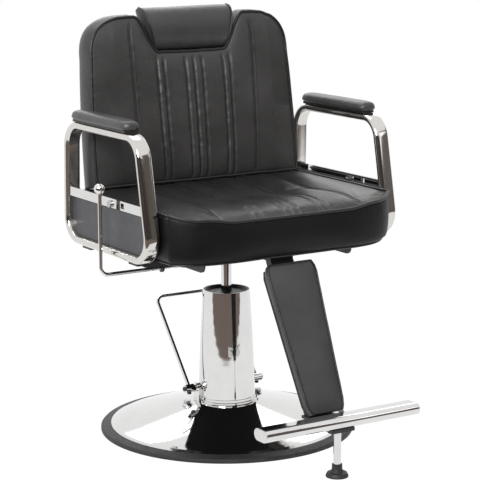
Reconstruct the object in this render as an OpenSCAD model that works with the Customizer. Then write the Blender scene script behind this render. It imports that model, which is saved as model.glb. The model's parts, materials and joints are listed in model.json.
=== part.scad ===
// Barber chair on a hydraulic pump: round base, pumped column, swivelling seat with loop arms,
// reclining back with a sliding head pillow, and a footrest with a calf pad.
// The origin is the centre of the base on the floor, +Z is up and the sitter faces -Y.

/* [Base] */
// Radius of the base over its rubber trim
base_r = 300; // [280:5:340]
// Width of the rubber trim ring
trim_w = 24; // [20:1:30]
// Height of the rubber trim ring
trim_h = 14; // [13:1:18]
// Thickness of the trim under the floor plate
trim_lip = 3; // [2:0.5:4]
// Height of the trim's upright outer wall
trim_wall = 6; // [4:1:8]
// Depth to which the trim grips the dish and the plate
trim_grip = 10; // [6:1:12]
// Width of the trim's sole on the floor
trim_sole = 38; // [34:1:46]
// Thickness of the steel floor plate
plate_t = 4; // [3:1:5]
// Thickness of the chromed dish
dish_t = 2; // [1.5:0.5:3]
// Rise of the dish if its curve ran on to the middle
dish_rise = 70; // [60:5:80]
// Radius of the flat land in the middle of the dish
land_r = 76; // [74:1:84]

/* [Pump] */
// Height of the floor collar under the column cover
collar_h = 11.5; // [9:0.5:15]
// Radius of the floor collar
collar_r = 72; // [70:1:74]
// Outer radius of the pump cylinder
cyl_r = 42; // [38:1:45]
// Bore radius of the pump cylinder
cyl_bore_r = 32; // [28:1:34]
// Radius of the lifting spindle
spindle_r = 12.7; // [11:0.1:14]
// Travel of the lift
stroke = 150; // [110:5:190]
// Length of the ram inside the cylinder
ram_h = 40; // [30:2:44]
// Radius of the column cover at its top
cover_top_r = 55.6; // [52:0.2:60]
// Radius of the column cover at its foot
cover_foot_r = 67.6; // [66:0.2:70]
// Thickness of the column cover
cover_t = 2; // [1.5:0.5:3]

/* [Pedal] */
// Height of the pedal pivot above the floor
pedal_z = 101; // [98:1:108]
// Distance of the pedal pivot behind the column's axis
pedal_y = 16; // [12:1:20]
// Half the distance between the pedal's two legs
pedal_x = 94; // [90:1:110]
// Distance of the pedal's cross bar from its pivot
pedal_len = 247; // [200:1:280]
// Angle of the pedal's legs above the horizontal at rest
pedal_angle = 51; // [45:1:55]
// Radius of the pedal rod
pedal_rod_r = 4.7; // [4:0.1:6]
// Radius of the pedal's bends
pedal_bend_r = 20; // [15:1:30]

/* [Seat] */
// Height of the underside of the seat cushion above the floor
seat_z = 463; // [460:1:500]
// Half width of the seat cushion
seat_half_w = 290; // [270:1:300]
// Distance of the cushion's rear edge behind the column's axis
seat_rear_y = 160; // [150:1:162]
// Distance of the cushion's front corners before the column's axis
seat_corner_y = 238; // [228:1:244]
// Distance of the cushion's bowed front before the column's axis
seat_front_y = 290; // [280:1:300]
// Height of the cushion at its side edges
seat_side_h = 111; // [100:1:115]
// Height of the cushion at its front edge
seat_front_h = 89; // [85:1:95]
// Height of the cushion at its rear edge
seat_rear_h = 105; // [100:1:108]
// Thickness of the seat board
board_t = 12; // [9:1:15]
// Half the distance between the outer faces of the side rails
rail_x = 198; // [180:1:210]
// Thickness of the side rails
rail_t = 5; // [4:1:6]
// Height of the side rails
rail_h = 30; // [26:1:34]
// Distance of the rails' front ends before the column's axis
rail_front_y = 228; // [200:1:240]

/* [Arms] */
// Gap between the seat's side and the arm tube
arm_gap = 7; // [6:1:20]
// Width of the arm tube
tube_w = 38; // [30:1:40]
// Thickness of the arm tube
tube_t = 18; // [14:1:22]
// Height of the top of the arm tube above the floor
arm_top_z = 741; // [720:1:780]
// Height of the bottom of the arm tube above the floor
arm_low_z = 457; // [453:1:460]
// Distance of the arm's rear leg behind the column's axis
arm_rear_y = 178; // [172:1:190]
// Distance of the arm's front foot before the column's axis
arm_front_y = 229; // [215:1:240]
// How far the front leg leans back over its height
arm_lean = 52; // [30:1:70]
// Radius of the arm's bends on the tube's centre line
arm_bend_r = 52; // [40:1:60]
// Height of the underside of the arm's cross bar above the floor
crossbar_z = 566; // [550:1:600]
// Height of the arm's cross bar
crossbar_h = 21; // [16:1:26]
// Length of the arm pads
pad_len = 262; // [240:1:290]
// Width of the arm pads
pad_w = 48; // [40:1:54]
// Height of the arm pads
pad_h = 22; // [18:1:28]

/* [Back] */
// Lean of the back at rest, in degrees
back_lean = 7; // [5:1:9]
// Distance of the back's front face behind the column's axis, at seat level
back_y = 118; // [114:1:122]
// Height above the floor at which that distance is taken
back_z = 588; // [586:1:592]
// How much narrower the back's foot is than the seat, on each side
back_in = 14; // [12:1:24]
// Height of the back's shoulders
shoulder_h = 382; // [360:1:420]
// Height of the floor of the head pillow's notch
notch_h = 296; // [280:1:310]
// Half width of the notch's floor
notch_half_w = 88; // [80:1:90]
// Thickness of the back cushion at its edge
back_t = 50; // [48:1:56]
// Thickness of the rear cover
rear_cover_t = 13; // [12:1:17]
// Distance of the recline pivot behind the column's axis
pivot_y = 182; // [180:1:186]
// Height of the recline pivot above the floor
pivot_z = 500; // [496:1:506]

/* [Head pillow] */
// Half width of the pillow at its top
pillow_top_w = 120; // [110:1:125]
// Half width of the pillow at its foot
pillow_foot_w = 90; // [86:1:91]
// Height of the pillow
pillow_h = 106; // [95:1:115]
// Thickness of the pillow
pillow_t = 57; // [50:1:60]
// Height by which the pillow rises on its post
pillow_rise_h = 90; // [60:5:95]

/* [Recline lever] */
// Distance of the lever's rod outside the arm tube
lever_gap = 16; // [15:1:30]
// Distance of the lever's axis before the column's axis
lever_y = 38; // [32:1:42]
// Height of the lever's axis above the floor
lever_z = 413; // [411:1:418]
// Height of the knob's centre above the lever's axis
lever_len = 196; // [150:1:220]
// Radius of the knob
knob_r = 12.5; // [10:0.5:15]

/* [Footrest] */
// Lean of the calf pad, in degrees
calf_lean = 26; // [24:1:28]
// Distance of the calf pad's top before the column's axis
calf_top_y = 271; // [266:1:280]
// Height of the calf pad's top above the floor
calf_top_z = 442; // [438:1:443]
// Length of the calf pad
calf_len = 340; // [320:1:345]
// Half width of the calf pad at its top
calf_top_w = 64; // [55:1:70]
// Half width of the calf pad at its foot
calf_foot_w = 46; // [42:1:55]
// Thickness of the calf pad
calf_t = 20; // [15:1:25]
// Length of the foot bar
bar_len = 403; // [360:1:460]
// Depth of the foot bar from front to back
bar_d = 50; // [44:1:54]
// Height of the foot bar's section
bar_h = 27; // [24:1:32]
// Distance of the foot bar's centre before the calf pad's foot
bar_ahead = 43; // [40:1:60]
// Depth of the foot bar's centre below the calf pad's foot
bar_drop = 10; // [9:0.5:12]
// Radius of the support leg
leg_r = 8.5; // [7:0.5:10]
// Distance of the support leg behind the foot bar's centre
leg_back = 5; // [0:1:8]
// Radius of the rubber foot
foot_r = 25; // [20:1:30]

/* [Hidden] */
$fn = 64;

// Radial clearance of a shaft that turns or slides in its bore
running_clear = 0.05;
// Clearance between pieces that lie still beside each other
seat_clear = 0.2;
// Clearance between pieces that move past each other
moving_clear = 1;
// Overrun of every cut past the piece that it cuts
over = 5;

// Heights in the base
plate_z = trim_lip;
flange_z = plate_z + plate_t;
grip_z = flange_z + dish_t;
rim_r = base_r - trim_w;
grip_r = rim_r + trim_grip;
dish_power_share = 0.85;
function dish_z(r) = trim_h + dish_rise * pow(1 - r / rim_r, dish_power_share);
land_z = dish_z(land_r);
collar_z = land_z + collar_h;
collar_step_h = 5;
collar_top_r = collar_r - 3 * seat_clear - dish_t;

// Bolts beside the column
base_bolt_r = 100;
base_bolt_angle = 11;
base_bolt_shank_r = 5;
base_bolt_head_r = 9;
base_bolt_head_h = 6;
base_boss_r = 12;
base_boss_z = dish_z(base_bolt_r) + 2 * dish_t;

// Heights inside the pump
cyl_floor = 12;
cyl_z = flange_z;
gland_h = 22;
gland_plug_h = 20;
ram_gap = 10;
ram_z = cyl_z + cyl_floor + ram_gap;
ram_top_z = ram_z + ram_h;
ram_bore_depth = 20;
bearing_t = 4;
bearing_r = 22;
spindle_foot_gap = 2;
spindle_z = ram_top_z - ram_bore_depth + spindle_foot_gap;
spindle_collar_h = 6;
spindle_collar_z = ram_top_z + bearing_t;
stroke_spare = 52;
cyl_top_z = spindle_collar_z + spindle_collar_h + stroke + stroke_spare + gland_plug_h;
cap_z = cyl_top_z + gland_h;
cap_rise = 11;
cover_top_z = cap_z + cap_rise;
cap_edge_w = 4;
cap_t = 4;
cap_dip = 6;
cap_bore_clear = 0.8;
cover_bulge = 1.2;

// Plunger pump beside the cylinder, worked by the right-hand pedal shaft
plunger_x = 46;
plunger_r = 5;
plunger_travel = 8.3;
plunger_guide_r = 8;
plunger_guide_h = 7;
plunger_gap = 0.3;
cam_t = 8;
cam_half_h = 5;
cam_reach = 17;
plunger_y = pedal_y + cam_reach - cam_half_h / 2;
plunger_top_z = pedal_z - cam_half_h - plunger_gap;
plunger_z = land_z + plunger_travel + moving_clear;

// Pedal shafts, their ears and clamps
shaft_r = 6;
shaft_in_x = plunger_x - cam_t / 2;
ear_t = 4.5;
ear_x = collar_r - dish_t + 3 * seat_clear;
ear_in_x = plunger_x + cam_t / 2 + moving_clear;
ear_half_w = 13;
cover_hole_r = 9;
clamp_x = 76.5;
clamp_r = 9.5;
clamp_len = 29;
clamp_hole_depth = 2 * clamp_r;
screw_r = 5;
screw_h = 4;
pedal_rod_foot = shaft_r + running_clear;

// Frame under the seat
tube_d = 40;
tube_h = 20;
tube_wall = 2;
front_tube_y = -150;
rear_tube_y = 70;
frame_plate_t = 6;
frame_plate_x = 100;
frame_z = seat_z - tube_h;
mount_z = frame_z - frame_plate_t;
hub_h = 33;
hub_r = 28;
hub_foot_r = 22;
rail_z = seat_z - rail_h;
rail_lobe_r = 10;
rail_ear_r = 17;
frame_bolt_r = 6.5;
frame_bolt_h = 5;
frame_bolt_shank_r = 4;
frame_bolt_inset = 24;
arm_lug_len = 34;
arm_lug_in = 10;
arm_lug_h = 8;

// Seat cushion and its board
seat_inset = 22;
seat_bulge = 3.5;
seat_foot_roll = 9;
seat_bow_power = 7;
seam_dip = 4;
groove_dip = 6;
groove_half_w = 5;

// Arms
arm_x = seat_half_w + arm_gap + tube_w;
loop_in_x = arm_x - tube_w;
loop_mid_x = arm_x - tube_w / 2;
crossbar_t = 8;
crossbar_in = 15;
crossbar_x = arm_x - crossbar_in;
panel_t = 5;
panel_lap = 6;
panel_top_z = crossbar_z + panel_lap;
panel_tab_r = 9;
slot_len = 14;
slot_h = 12;
slot_y = -100;
bolt_head_r = 8;
bolt_head_h = 5;
bolt_head_y = -45;
arm_board_t = 5;
arm_board_w = 34;
pad_mid_y = -1;
pad_tuck = 4;
arm_board_len = pad_len - 2 * bolt_head_r;

// Back
back_half_w = seat_half_w - back_in;
back_foot = -6;
back_inset = 22;
back_crown = 14;
rear_crown = 4;
rear_roll = 1.5;
back_bulge = 8;
cover_inset = 0;
notch_slope_w = 62;
corner_w = 106;
corner_h = 97;
corner_power = 2.6;
side_taper = 10;
bracket_t = 5;
bracket_x = rail_x - rail_t - 2;
bracket_r = 16;
strap_w = 30;
strap_len = 90;
pin_r = 6;
pin_head_r = 10;
pin_head_h = 4;

// Lock strut of the recline: a rod that slides in a cylinder under the seat
lock_x = 140;
lock_arm_len = 68;
lock_swing = 20;
lock_travel = 2 * lock_arm_len * sin(lock_swing);
lock_z = pivot_z - lock_arm_len * (1 + cos(lock_swing)) / 2;
lock_r = 11;
lock_rod_r = 4.8;
lock_button_r = 4;
lock_button_len = 6;
lock_throw = 15.5;
lock_front_y = lock_throw + lock_button_len + rail_t - lever_y;
lock_rear_y = 66;
lock_pin_r = 6;
lock_pin_y = pivot_y + lock_arm_len * sin(lock_swing);
lock_pin_z = pivot_z - lock_arm_len * cos(lock_swing);
lock_eye_clear = 0.7;
lock_eye_wall = 5;
lock_eye_w = 14;
lock_rise = lock_arm_len * (1 - cos(lock_swing)) / 2;

// Head pillow's post and guide
post_w = 50;
post_t = 6;
post_top_v = 385;
post_held = 15;
guide_wall = 5;
guide_foot_v = 165;
guide_top_v = 285;
post_foot_v = guide_top_v - pillow_rise_h - post_held;
guide_clear = 0.3;
guide_in = post_w + 2 * guide_clear;
guide_out = guide_in + 2 * guide_wall;
guide_depth = moving_clear + post_t + guide_clear + guide_wall / 2;
pillow_gap = 2;
pillow_foot_v = notch_h + pillow_gap;
pillow_flare_power = 0.6;
pillow_board_t = 8;
pillow_bulge = 16;
pillow_tuck = 8;

// Recline lever
lever_rod_r = 4.6;
lever_bend_r = 18;
lever_cam_r = 7;
lever_cam_w = 8;
lever_cam_h = lock_z - lever_z + lock_button_r / 2;
lever_in_x = lock_x - lever_cam_w / 2;
lever_x = arm_x + lever_gap;

// Footrest
calf_y = calf_top_y + calf_len * sin(calf_lean);
calf_z = calf_top_z - calf_len * cos(calf_lean);
bar_y = calf_y + bar_ahead;
bar_z = calf_z - bar_drop;
leg_y = bar_y - leg_back;
footrest_half_w = 30;
footrest_t = 20;
calf_board_t = 8;
calf_bulge = 2;
foot_plate_half_w = 36;
foot_plate_t = 6;
footrest_arm_h = 16;
bar_wall = 2;
cap_plug = 12;
cap_plate = 3;
leg_plate_half_w = 30;
leg_plate_half_d = 18;
leg_plate_t = 8;
leg_top_z = bar_z - bar_h / 2 - leg_plate_t;
leg_foot_z = 29;
stud_r = 5;
stud_rise_share = 0.6;
stud_top_z = leg_foot_z + stud_rise_share * (leg_top_z - leg_foot_z);
foot_neck_r = 11.5;
foot_neck_z = 28;
foot_disc_h = 9;

module side_mirror(side) {
    if (side > 0) children();
    else mirror([1, 0, 0]) children();
}

// Both sides of the chair
module both_sides() {
    children();
    mirror([1, 0, 0]) children();
}

// A cylinder along X from x0, at the given place in Y and Z
module rod_x(x0, len, r, y, z) {
    translate([x0, y, z]) rotate([0, 90, 0]) cylinder(h = len, r = r);
}

// A cylinder along Y from y0
module rod_y(x, y0, len, r, z) {
    translate([x, y0, z]) rotate([-90, 0, 0]) cylinder(h = len, r = r);
}

// A profile drawn in Y and Z, extruded along X from x0
module plate_x(x0, t) {
    translate([x0, 0, 0]) rotate([90, 0, 90]) linear_extrude(height = t) children();
}

// Places what is drawn on a leaning face: x across, y up the face and z out of its front
module on_face(y, z, lean) {
    translate([0, y, z]) rotate([90 - lean, 0, 0]) children();
}

module back_frame() {
    on_face(back_y, back_z, back_lean) children();
}

module calf_frame() {
    on_face(-calf_y, calf_z, calf_lean) children();
}

// A flat oval with its long side along Y
module oval(t, w) {
    square([t, w - t], center = true);
    for (side = [-1, 1]) translate([0, side * (w - t) / 2]) circle(d = t);
}

function smooth(x) = let (c = min(1, max(0, x))) c * c * (3 - 2 * c);
function unit(v) = v / norm(v);

// A dip that is 1 on the line and falls to 0 at the given distance from it
function dip(x, line, reach) = max(0, 1 - abs(x - line) / reach);

// The outline of a grid of points, in the order of its edges, anticlockwise from above
function grid_edge(g) = let (nx = len(g[0]), ny = len(g)) concat(
    [for (i = [0 : nx - 2]) g[0][i]],
    [for (j = [0 : ny - 2]) g[j][nx - 1]],
    [for (i = [nx - 1 : -1 : 1]) g[ny - 1][i]],
    [for (j = [ny - 1 : -1 : 1]) g[j][0]]);

// That outline moved out by a distance and laid at a height
function ring(edge, middle, half, out, h) = [for (p = edge)
    [middle.x + (p.x - middle.x) * (1 + out / half.x),
     middle.y + (p.y - middle.y) * (1 + out / half.y), h]];

// Indices of a grid's outline in its list of points
function edge_index(nx, ny) = concat(
    [for (i = [0 : nx - 2]) i],
    [for (j = [0 : ny - 2]) j * nx + nx - 1],
    [for (i = [nx - 1 : -1 : 1]) (ny - 1) * nx + i],
    [for (j = [ny - 1 : -1 : 1]) j * nx]);

// A padded form: a grid for its face, then rings down its sides and across its back
module padded_form(g, rings, close) {
    nx = len(g[0]);
    ny = len(g);
    n = 2 * (nx + ny) - 4;
    face = nx * ny;
    points = concat([for (row = g) for (p = row) p], [for (r = rings) for (p = r) p], [close]);
    top = [for (j = [0 : ny - 2]) for (i = [0 : nx - 2])
        let (a = j * nx + i) each [[a, a + nx, a + nx + 1], [a, a + nx + 1, a + 1]]];
    edge = edge_index(nx, ny);
    index = concat([edge],
        [for (k = [0 : len(rings) - 1]) [for (i = [0 : n - 1]) face + k * n + i]]);
    sides = [for (k = [0 : len(rings) - 1]) for (i = [0 : n - 1])
        let (j = (i + 1) % n, a = index[k], b = index[k + 1])
        each [[a[i], a[j], b[j]], [a[i], b[j], b[i]]]];
    last = index[len(rings)];
    cover = [for (i = [0 : n - 1]) [len(points) - 1, last[i], last[(i + 1) % n]]];
    polyhedron(points = points, faces = concat(top, sides, cover));
}

// Positions across a form: the given half positions and their mirror images
function both_ways(half) = concat([for (i = [len(half) - 1 : -1 : 1]) -half[i]], half);

/* Base */

module base_trim() {
    color("dimgray") rotate_extrude() polygon([
        [base_r - trim_sole, 0], [base_r, 0], [base_r, trim_wall],
        [base_r - trim_lip, trim_wall + trim_lip], [rim_r + seat_clear, trim_h],
        [rim_r + seat_clear, grip_z + seat_clear], [grip_r + seat_clear, grip_z + seat_clear],
        [grip_r + seat_clear, plate_z], [base_r - trim_sole, plate_z]]);
}

module base_bolt_places() {
    for (a = [base_bolt_angle, 180 - base_bolt_angle])
        rotate([0, 0, a]) translate([base_bolt_r, 0, 0]) children();
}

module base_plate() {
    color("gray") translate([0, 0, plate_z]) difference() {
        union() {
            cylinder(h = plate_t, r = grip_r);
            translate([0, 0, -plate_z]) cylinder(h = plate_z, r = cyl_r);
        }
        base_bolt_places() translate([0, 0, -over])
            cylinder(h = plate_t + 2 * over, r = base_bolt_shank_r + running_clear);
    }
}

dish_steps = 24;
function dish_r(i) = rim_r + (land_r - rim_r) * i / dish_steps;

module base_dish() {
    outer = [for (i = [0 : dish_steps]) [dish_r(i), dish_z(dish_r(i))]];
    inner = [for (i = [dish_steps : -1 : 1]) [dish_r(i) - dish_t / 2, dish_z(dish_r(i)) - dish_t]];
    color("gainsboro") difference() {
        union() {
            rotate_extrude($fn = 128) polygon(concat(
                [[grip_r, flange_z], [grip_r, grip_z], [rim_r, grip_z]], outer,
                [[cyl_r + seat_clear, land_z], [cyl_r + seat_clear, land_z - dish_t]], inner,
                [[rim_r - dish_t, trim_h - dish_t], [rim_r - dish_t, flange_z]]));
            base_bolt_places() translate([0, 0, dish_z(base_bolt_r) - dish_t])
                cylinder(h = base_boss_z - dish_z(base_bolt_r) + dish_t, r = base_boss_r);
        }
        base_bolt_places() translate([0, 0, flange_z])
            cylinder(h = land_z, r = base_bolt_shank_r + running_clear);
    }
}

module base_bolts() {
    color("silver") base_bolt_places() {
        translate([0, 0, plate_z]) cylinder(h = base_boss_z - plate_z, r = base_bolt_shank_r);
        translate([0, 0, base_boss_z]) cylinder(h = base_bolt_head_h, r = base_bolt_head_r, $fn = 6);
    }
}

/* Pump */

module pump_flange() {
    color("silver") difference() {
        union() {
            translate([0, 0, land_z]) cylinder(h = collar_step_h, r = collar_r);
            translate([0, 0, land_z]) cylinder(h = collar_h, r = collar_top_r);
            translate([plunger_x, plunger_y, land_z])
                cylinder(h = collar_h + plunger_guide_h, r = plunger_guide_r);
            both_sides() translate([ear_in_x, pedal_y - ear_half_w, land_z])
                cube([ear_x + ear_t - ear_in_x, 2 * ear_half_w, collar_step_h]);
            both_sides() for (x = [ear_in_x, ear_x]) plate_x(x, ear_t) {
                translate([pedal_y - ear_half_w, land_z]) square([2 * ear_half_w, pedal_z - land_z]);
                translate([pedal_y, pedal_z]) circle(r = ear_half_w);
            }
        }
        translate([0, 0, land_z - over]) cylinder(h = collar_h + 2 * over, r = cyl_r + seat_clear);
        translate([plunger_x, plunger_y, land_z - over])
            cylinder(h = collar_h + plunger_guide_h + 2 * over, r = plunger_r + running_clear);
        rod_x(-2 * ear_x, 4 * ear_x, shaft_r + running_clear, pedal_y, pedal_z);
    }
}

module pump_cylinder() {
    color("slategray") translate([0, 0, cyl_z]) difference() {
        cylinder(h = cyl_top_z - cyl_z, r = cyl_r);
        translate([0, 0, cyl_floor]) cylinder(h = cyl_top_z, r = cyl_bore_r);
    }
}

module pump_gland() {
    color("slategray") difference() {
        union() {
            translate([0, 0, cyl_top_z]) cylinder(h = gland_h, r = cyl_r);
            translate([0, 0, cyl_top_z - gland_plug_h])
                cylinder(h = gland_plug_h, r = cyl_bore_r - running_clear);
        }
        translate([0, 0, cyl_top_z - gland_plug_h - over])
            cylinder(h = gland_h + gland_plug_h + 2 * over, r = spindle_r + running_clear);
    }
}

cover_steps = 10;
function cover_share(i) = i / cover_steps;
function cover_r(i) = cover_foot_r + (cover_top_r - cover_foot_r) * cover_share(i)
    + cover_bulge * sin(180 * cover_share(i));
function cover_z(i) = collar_z + (cover_top_z - collar_z) * cover_share(i);

module column_cover() {
    color("white") difference() {
        rotate_extrude($fn = 96) polygon(concat(
            [for (i = [0 : cover_steps]) [cover_r(i), cover_z(i)]],
            [for (i = [cover_steps : -1 : 0]) [cover_r(i) - cover_t, cover_z(i)]]));
        rod_x(-2 * cover_foot_r, 4 * cover_foot_r, cover_hole_r, pedal_y, pedal_z);
    }
}

module column_cap() {
    cap_r = cover_top_r - cover_t - seat_clear;
    color("black") rotate_extrude() polygon([
        [spindle_r + cap_bore_clear, cap_z], [cap_r - cap_t / 2, cap_z], [cap_r, cover_top_z],
        [cap_r - cap_edge_w, cover_top_z], [cap_r - 2 * cap_edge_w, cap_z + cap_t],
        [cap_r / 2, cap_z + cap_t], [spindle_r + cap_bore_clear, cap_z + cap_dip]]);
}

module ram_piston() {
    color("silver") translate([0, 0, ram_z]) difference() {
        cylinder(h = ram_h, r = cyl_bore_r - running_clear);
        translate([0, 0, ram_h - ram_bore_depth])
            cylinder(h = ram_bore_depth + over, r = spindle_r + running_clear);
    }
}

module thrust_bearing() {
    color("goldenrod") translate([0, 0, ram_top_z]) difference() {
        cylinder(h = bearing_t, r = bearing_r);
        translate([0, 0, -over]) cylinder(h = bearing_t + 2 * over, r = spindle_r + running_clear);
    }
}

module pump_plunger() {
    color("silver") translate([plunger_x, plunger_y, plunger_z])
        cylinder(h = plunger_top_z - plunger_z, r = plunger_r);
}

/* Pedal */

module pedal_frame() {
    translate([0, pedal_y, pedal_z]) rotate([pedal_angle, 0, 0]) children();
}

module pedal_shafts() {
    color("silver") {
        both_sides() rod_x(shaft_in_x, clamp_x + clamp_len - shaft_in_x, shaft_r, pedal_y, pedal_z);
        translate([plunger_x - cam_t / 2, pedal_y, pedal_z - cam_half_h])
            cube([cam_t, cam_reach, 2 * cam_half_h]);
    }
}

module pedal_clamps() {
    color("dimgray") both_sides() difference() {
        rod_x(clamp_x, clamp_len, clamp_r, pedal_y, pedal_z);
        rod_x(clamp_x - over, clamp_len + 2 * over, shaft_r + running_clear, pedal_y, pedal_z);
        pedal_frame() translate([pedal_x, 0, 0]) rotate([-90, 0, 0])
            cylinder(h = clamp_hole_depth, r = pedal_rod_r + running_clear);
    }
}

module pedal_screws() {
    color("black") both_sides() {
        rod_x(clamp_x + clamp_len, screw_h, screw_r, pedal_y, pedal_z);
        translate([pedal_x, pedal_y, pedal_z - clamp_r - screw_h]) cylinder(h = screw_h, r = screw_r);
    }
}

module pedal_bar() {
    leg = pedal_len - pedal_bend_r;
    color("gainsboro") pedal_frame() {
        both_sides() {
            translate([pedal_x, pedal_rod_foot, 0]) rotate([-90, 0, 0])
                cylinder(h = leg - pedal_rod_foot, r = pedal_rod_r);
            translate([pedal_x - pedal_bend_r, leg, 0]) rotate_extrude(angle = 90)
                translate([pedal_bend_r, 0]) circle(r = pedal_rod_r, $fn = 32);
        }
        rod_x(pedal_bend_r - pedal_x, 2 * (pedal_x - pedal_bend_r), pedal_rod_r, pedal_len, 0);
    }
}

/* Seat frame */

module spindle() {
    color("gainsboro") {
        translate([0, 0, spindle_z]) cylinder(h = mount_z - spindle_z, r = spindle_r);
        translate([0, 0, spindle_collar_z]) cylinder(h = spindle_collar_h, r = bearing_r);
    }
}

module seat_hub() {
    color("dimgray") difference() {
        translate([0, 0, mount_z - hub_h]) cylinder(h = hub_h, r1 = hub_foot_r, r2 = hub_r);
        translate([0, 0, mount_z - hub_h - over])
            cylinder(h = hub_h + 2 * over, r = spindle_r + running_clear);
    }
}

module frame_bolt_places() {
    for (x = [-1, 1], y = [front_tube_y + tube_d / 2, rear_tube_y + tube_d / 2])
        translate([x * (frame_plate_x - frame_bolt_inset), y, mount_z]) children();
}

module mount_plate() {
    color("dimgray") difference() {
        translate([-frame_plate_x, front_tube_y, mount_z])
            cube([2 * frame_plate_x, rear_tube_y + tube_d - front_tube_y, frame_plate_t]);
        frame_bolt_places() translate([0, 0, -over])
            cylinder(h = frame_plate_t + 2 * over, r = frame_bolt_shank_r + running_clear);
    }
}

module frame_bolts() {
    color("silver") frame_bolt_places() {
        translate([0, 0, -frame_bolt_h]) cylinder(h = frame_bolt_h, r = frame_bolt_r, $fn = 6);
        cylinder(h = frame_plate_t + 2 * tube_wall, r = frame_bolt_shank_r);
    }
}

// Two hollow tubes across the frame, each with a solid lug under either arm
module cross_tubes() {
    tube_x = loop_in_x - moving_clear;
    color("dimgray") difference() {
        for (y = [front_tube_y, rear_tube_y]) translate([0, y, frame_z]) {
            difference() {
                translate([-tube_x, 0, 0]) cube([2 * tube_x, tube_d, tube_h]);
                translate([-tube_x - over, tube_wall, tube_wall])
                    cube([2 * (tube_x + over), tube_d - 2 * tube_wall, tube_h - 2 * tube_wall]);
            }
            both_sides() translate([tube_x - arm_lug_in, 0, arm_low_z - frame_z - arm_lug_h])
                cube([arm_lug_len, tube_d, arm_lug_h]);
        }
        frame_bolt_places() translate([0, 0, frame_plate_t - over])
            cylinder(h = tube_wall + 2 * over, r = frame_bolt_shank_r + running_clear);
    }
}

rail_end_r = rail_h / 2;
ear_start_y = seat_rear_y + 6;
module rail_outline() {
    difference() {
        union() {
            translate([-rail_front_y + rail_end_r, rail_z])
                square([rail_front_y - rail_end_r + pivot_y, rail_h]);
            translate([-rail_front_y + rail_end_r, rail_z + rail_end_r]) circle(r = rail_end_r);
            translate([-lever_y - rail_lobe_r, lever_z]) square([2 * rail_lobe_r, seat_z - lever_z]);
            translate([-lever_y, lever_z]) circle(r = rail_lobe_r);
            polygon([[ear_start_y, rail_z], [pivot_y, rail_z], [pivot_y + rail_ear_r, rail_z + rail_h],
                [pivot_y + rail_ear_r, pivot_z], [ear_start_y, pivot_z]]);
            translate([pivot_y, pivot_z]) circle(r = rail_ear_r);
        }
        for (y = [front_tube_y, rear_tube_y]) translate([y - seat_clear, frame_z - seat_clear])
            square([tube_d + 2 * seat_clear, tube_h + over]);
        translate([-lever_y, lever_z]) circle(r = lever_rod_r + running_clear);
        translate([pivot_y, pivot_z]) circle(r = pin_r + running_clear);
    }
}

module rail(side) {
    color("dimgray") side_mirror(side) plate_x(rail_x - rail_t, rail_t) rail_outline();
}

module hinge_pins() {
    color("silver") both_sides() {
        pin_x = bracket_x - bracket_t - 1.5 * pin_head_h;
        rod_x(pin_x, rail_x - pin_x, pin_r, pivot_y, pivot_z);
        rod_x(rail_x, pin_head_h, pin_head_r, pivot_y, pivot_z);
    }
}

/* Seat cushion */

// Shares of the cushion's depth at which its rows lie, from front to rear
seat_row_shares = [0, 0.02, 0.05, 0.1, 0.16, 0.23, 0.32, 0.42, 0.53, 0.64, 0.76, 0.88, 0.96, 1];
// Height of the middle panel along the depth, as shares of the side's height
seat_panel_shares = [[0, seat_front_h / seat_side_h], [0.05, 0.93], [0.14, 1.0], [0.22, 1.01], [0.34, 0.97],
    [0.45, 0.93], [0.55, 0.95], [0.7, 1.01], [0.85, 1.04], [0.94, 1.0],
    [1, seat_rear_h / seat_side_h]];
// Height of the side panels along the depth, in the same way
seat_bolster_shares = [[0, 0.88], [0.05, 0.94], [0.14, 1.0], [0.3, 1.04], [0.6, 1.05],
    [0.88, 1.03], [0.96, 0.99], [1, seat_rear_h / seat_side_h]];
// Half positions of the seams and channels, as shares of the half width
seat_seam_share = 0.64;
seat_groove_shares = [0, 0.065, 0.27, 0.35];
seat_half_shares = [0, 0.018, 0.047, 0.065, 0.083, 0.17, 0.252, 0.27, 0.288, 0.332, 0.35, 0.368,
    0.5, 0.62, 0.64, 0.66, 0.78, 0.9, 0.97, 1];
// The seam's place along the depth, as shares of the half width
seat_seam_shares = [[0, 0.64], [0.15, 0.62], [0.45, 0.57], [0.75, 0.64], [1, 0.7]];

function seat_front(s) = -seat_front_y + (seat_front_y - seat_corner_y) * pow(abs(s), seat_bow_power);
function seat_y(s, t) = seat_front(s) + (seat_rear_y - seat_front(s)) * t;
function seat_x(s, t) = let (seam = lookup(t, seat_seam_shares), a = abs(s)) sign(s) * seat_half_w *
    (a <= seat_seam_share ? a * seam / seat_seam_share
        : seam + (a - seat_seam_share) * (1 - seam) / (1 - seat_seam_share));
function seat_dips(s) = let (a = abs(s), reach = groove_half_w / seat_half_w)
    seam_dip * dip(a, seat_seam_share, 1.1 * reach)
    + groove_dip * max([for (g = seat_groove_shares) dip(a, g, 1.1 * reach)]);
function seat_height(s, t) = let (a = abs(s),
        panel = seat_side_h * lookup(t, seat_panel_shares),
        bolster = seat_side_h * lookup(t, seat_bolster_shares),
        mix = smooth((a - 0.5) / 0.28),
        open = smooth(t / 0.06) * smooth((1 - t) / 0.05),
        fall = pow(max(0, (a - 0.8) / 0.2), 2) * (bolster - seat_side_h + seam_dip / 2))
    panel + (bolster - panel) * mix - fall - seat_dips(s) * open;

seat_grid = [for (t = seat_row_shares) [for (s = both_ways(seat_half_shares))
    [seat_x(s, t), seat_y(s, t), seat_height(s, t)]]];
seat_edge = grid_edge(seat_grid);
seat_middle = [0, (seat_rear_y - seat_front_y) / 2];
seat_half = [seat_half_w, (seat_rear_y + seat_front_y) / 2];

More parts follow.
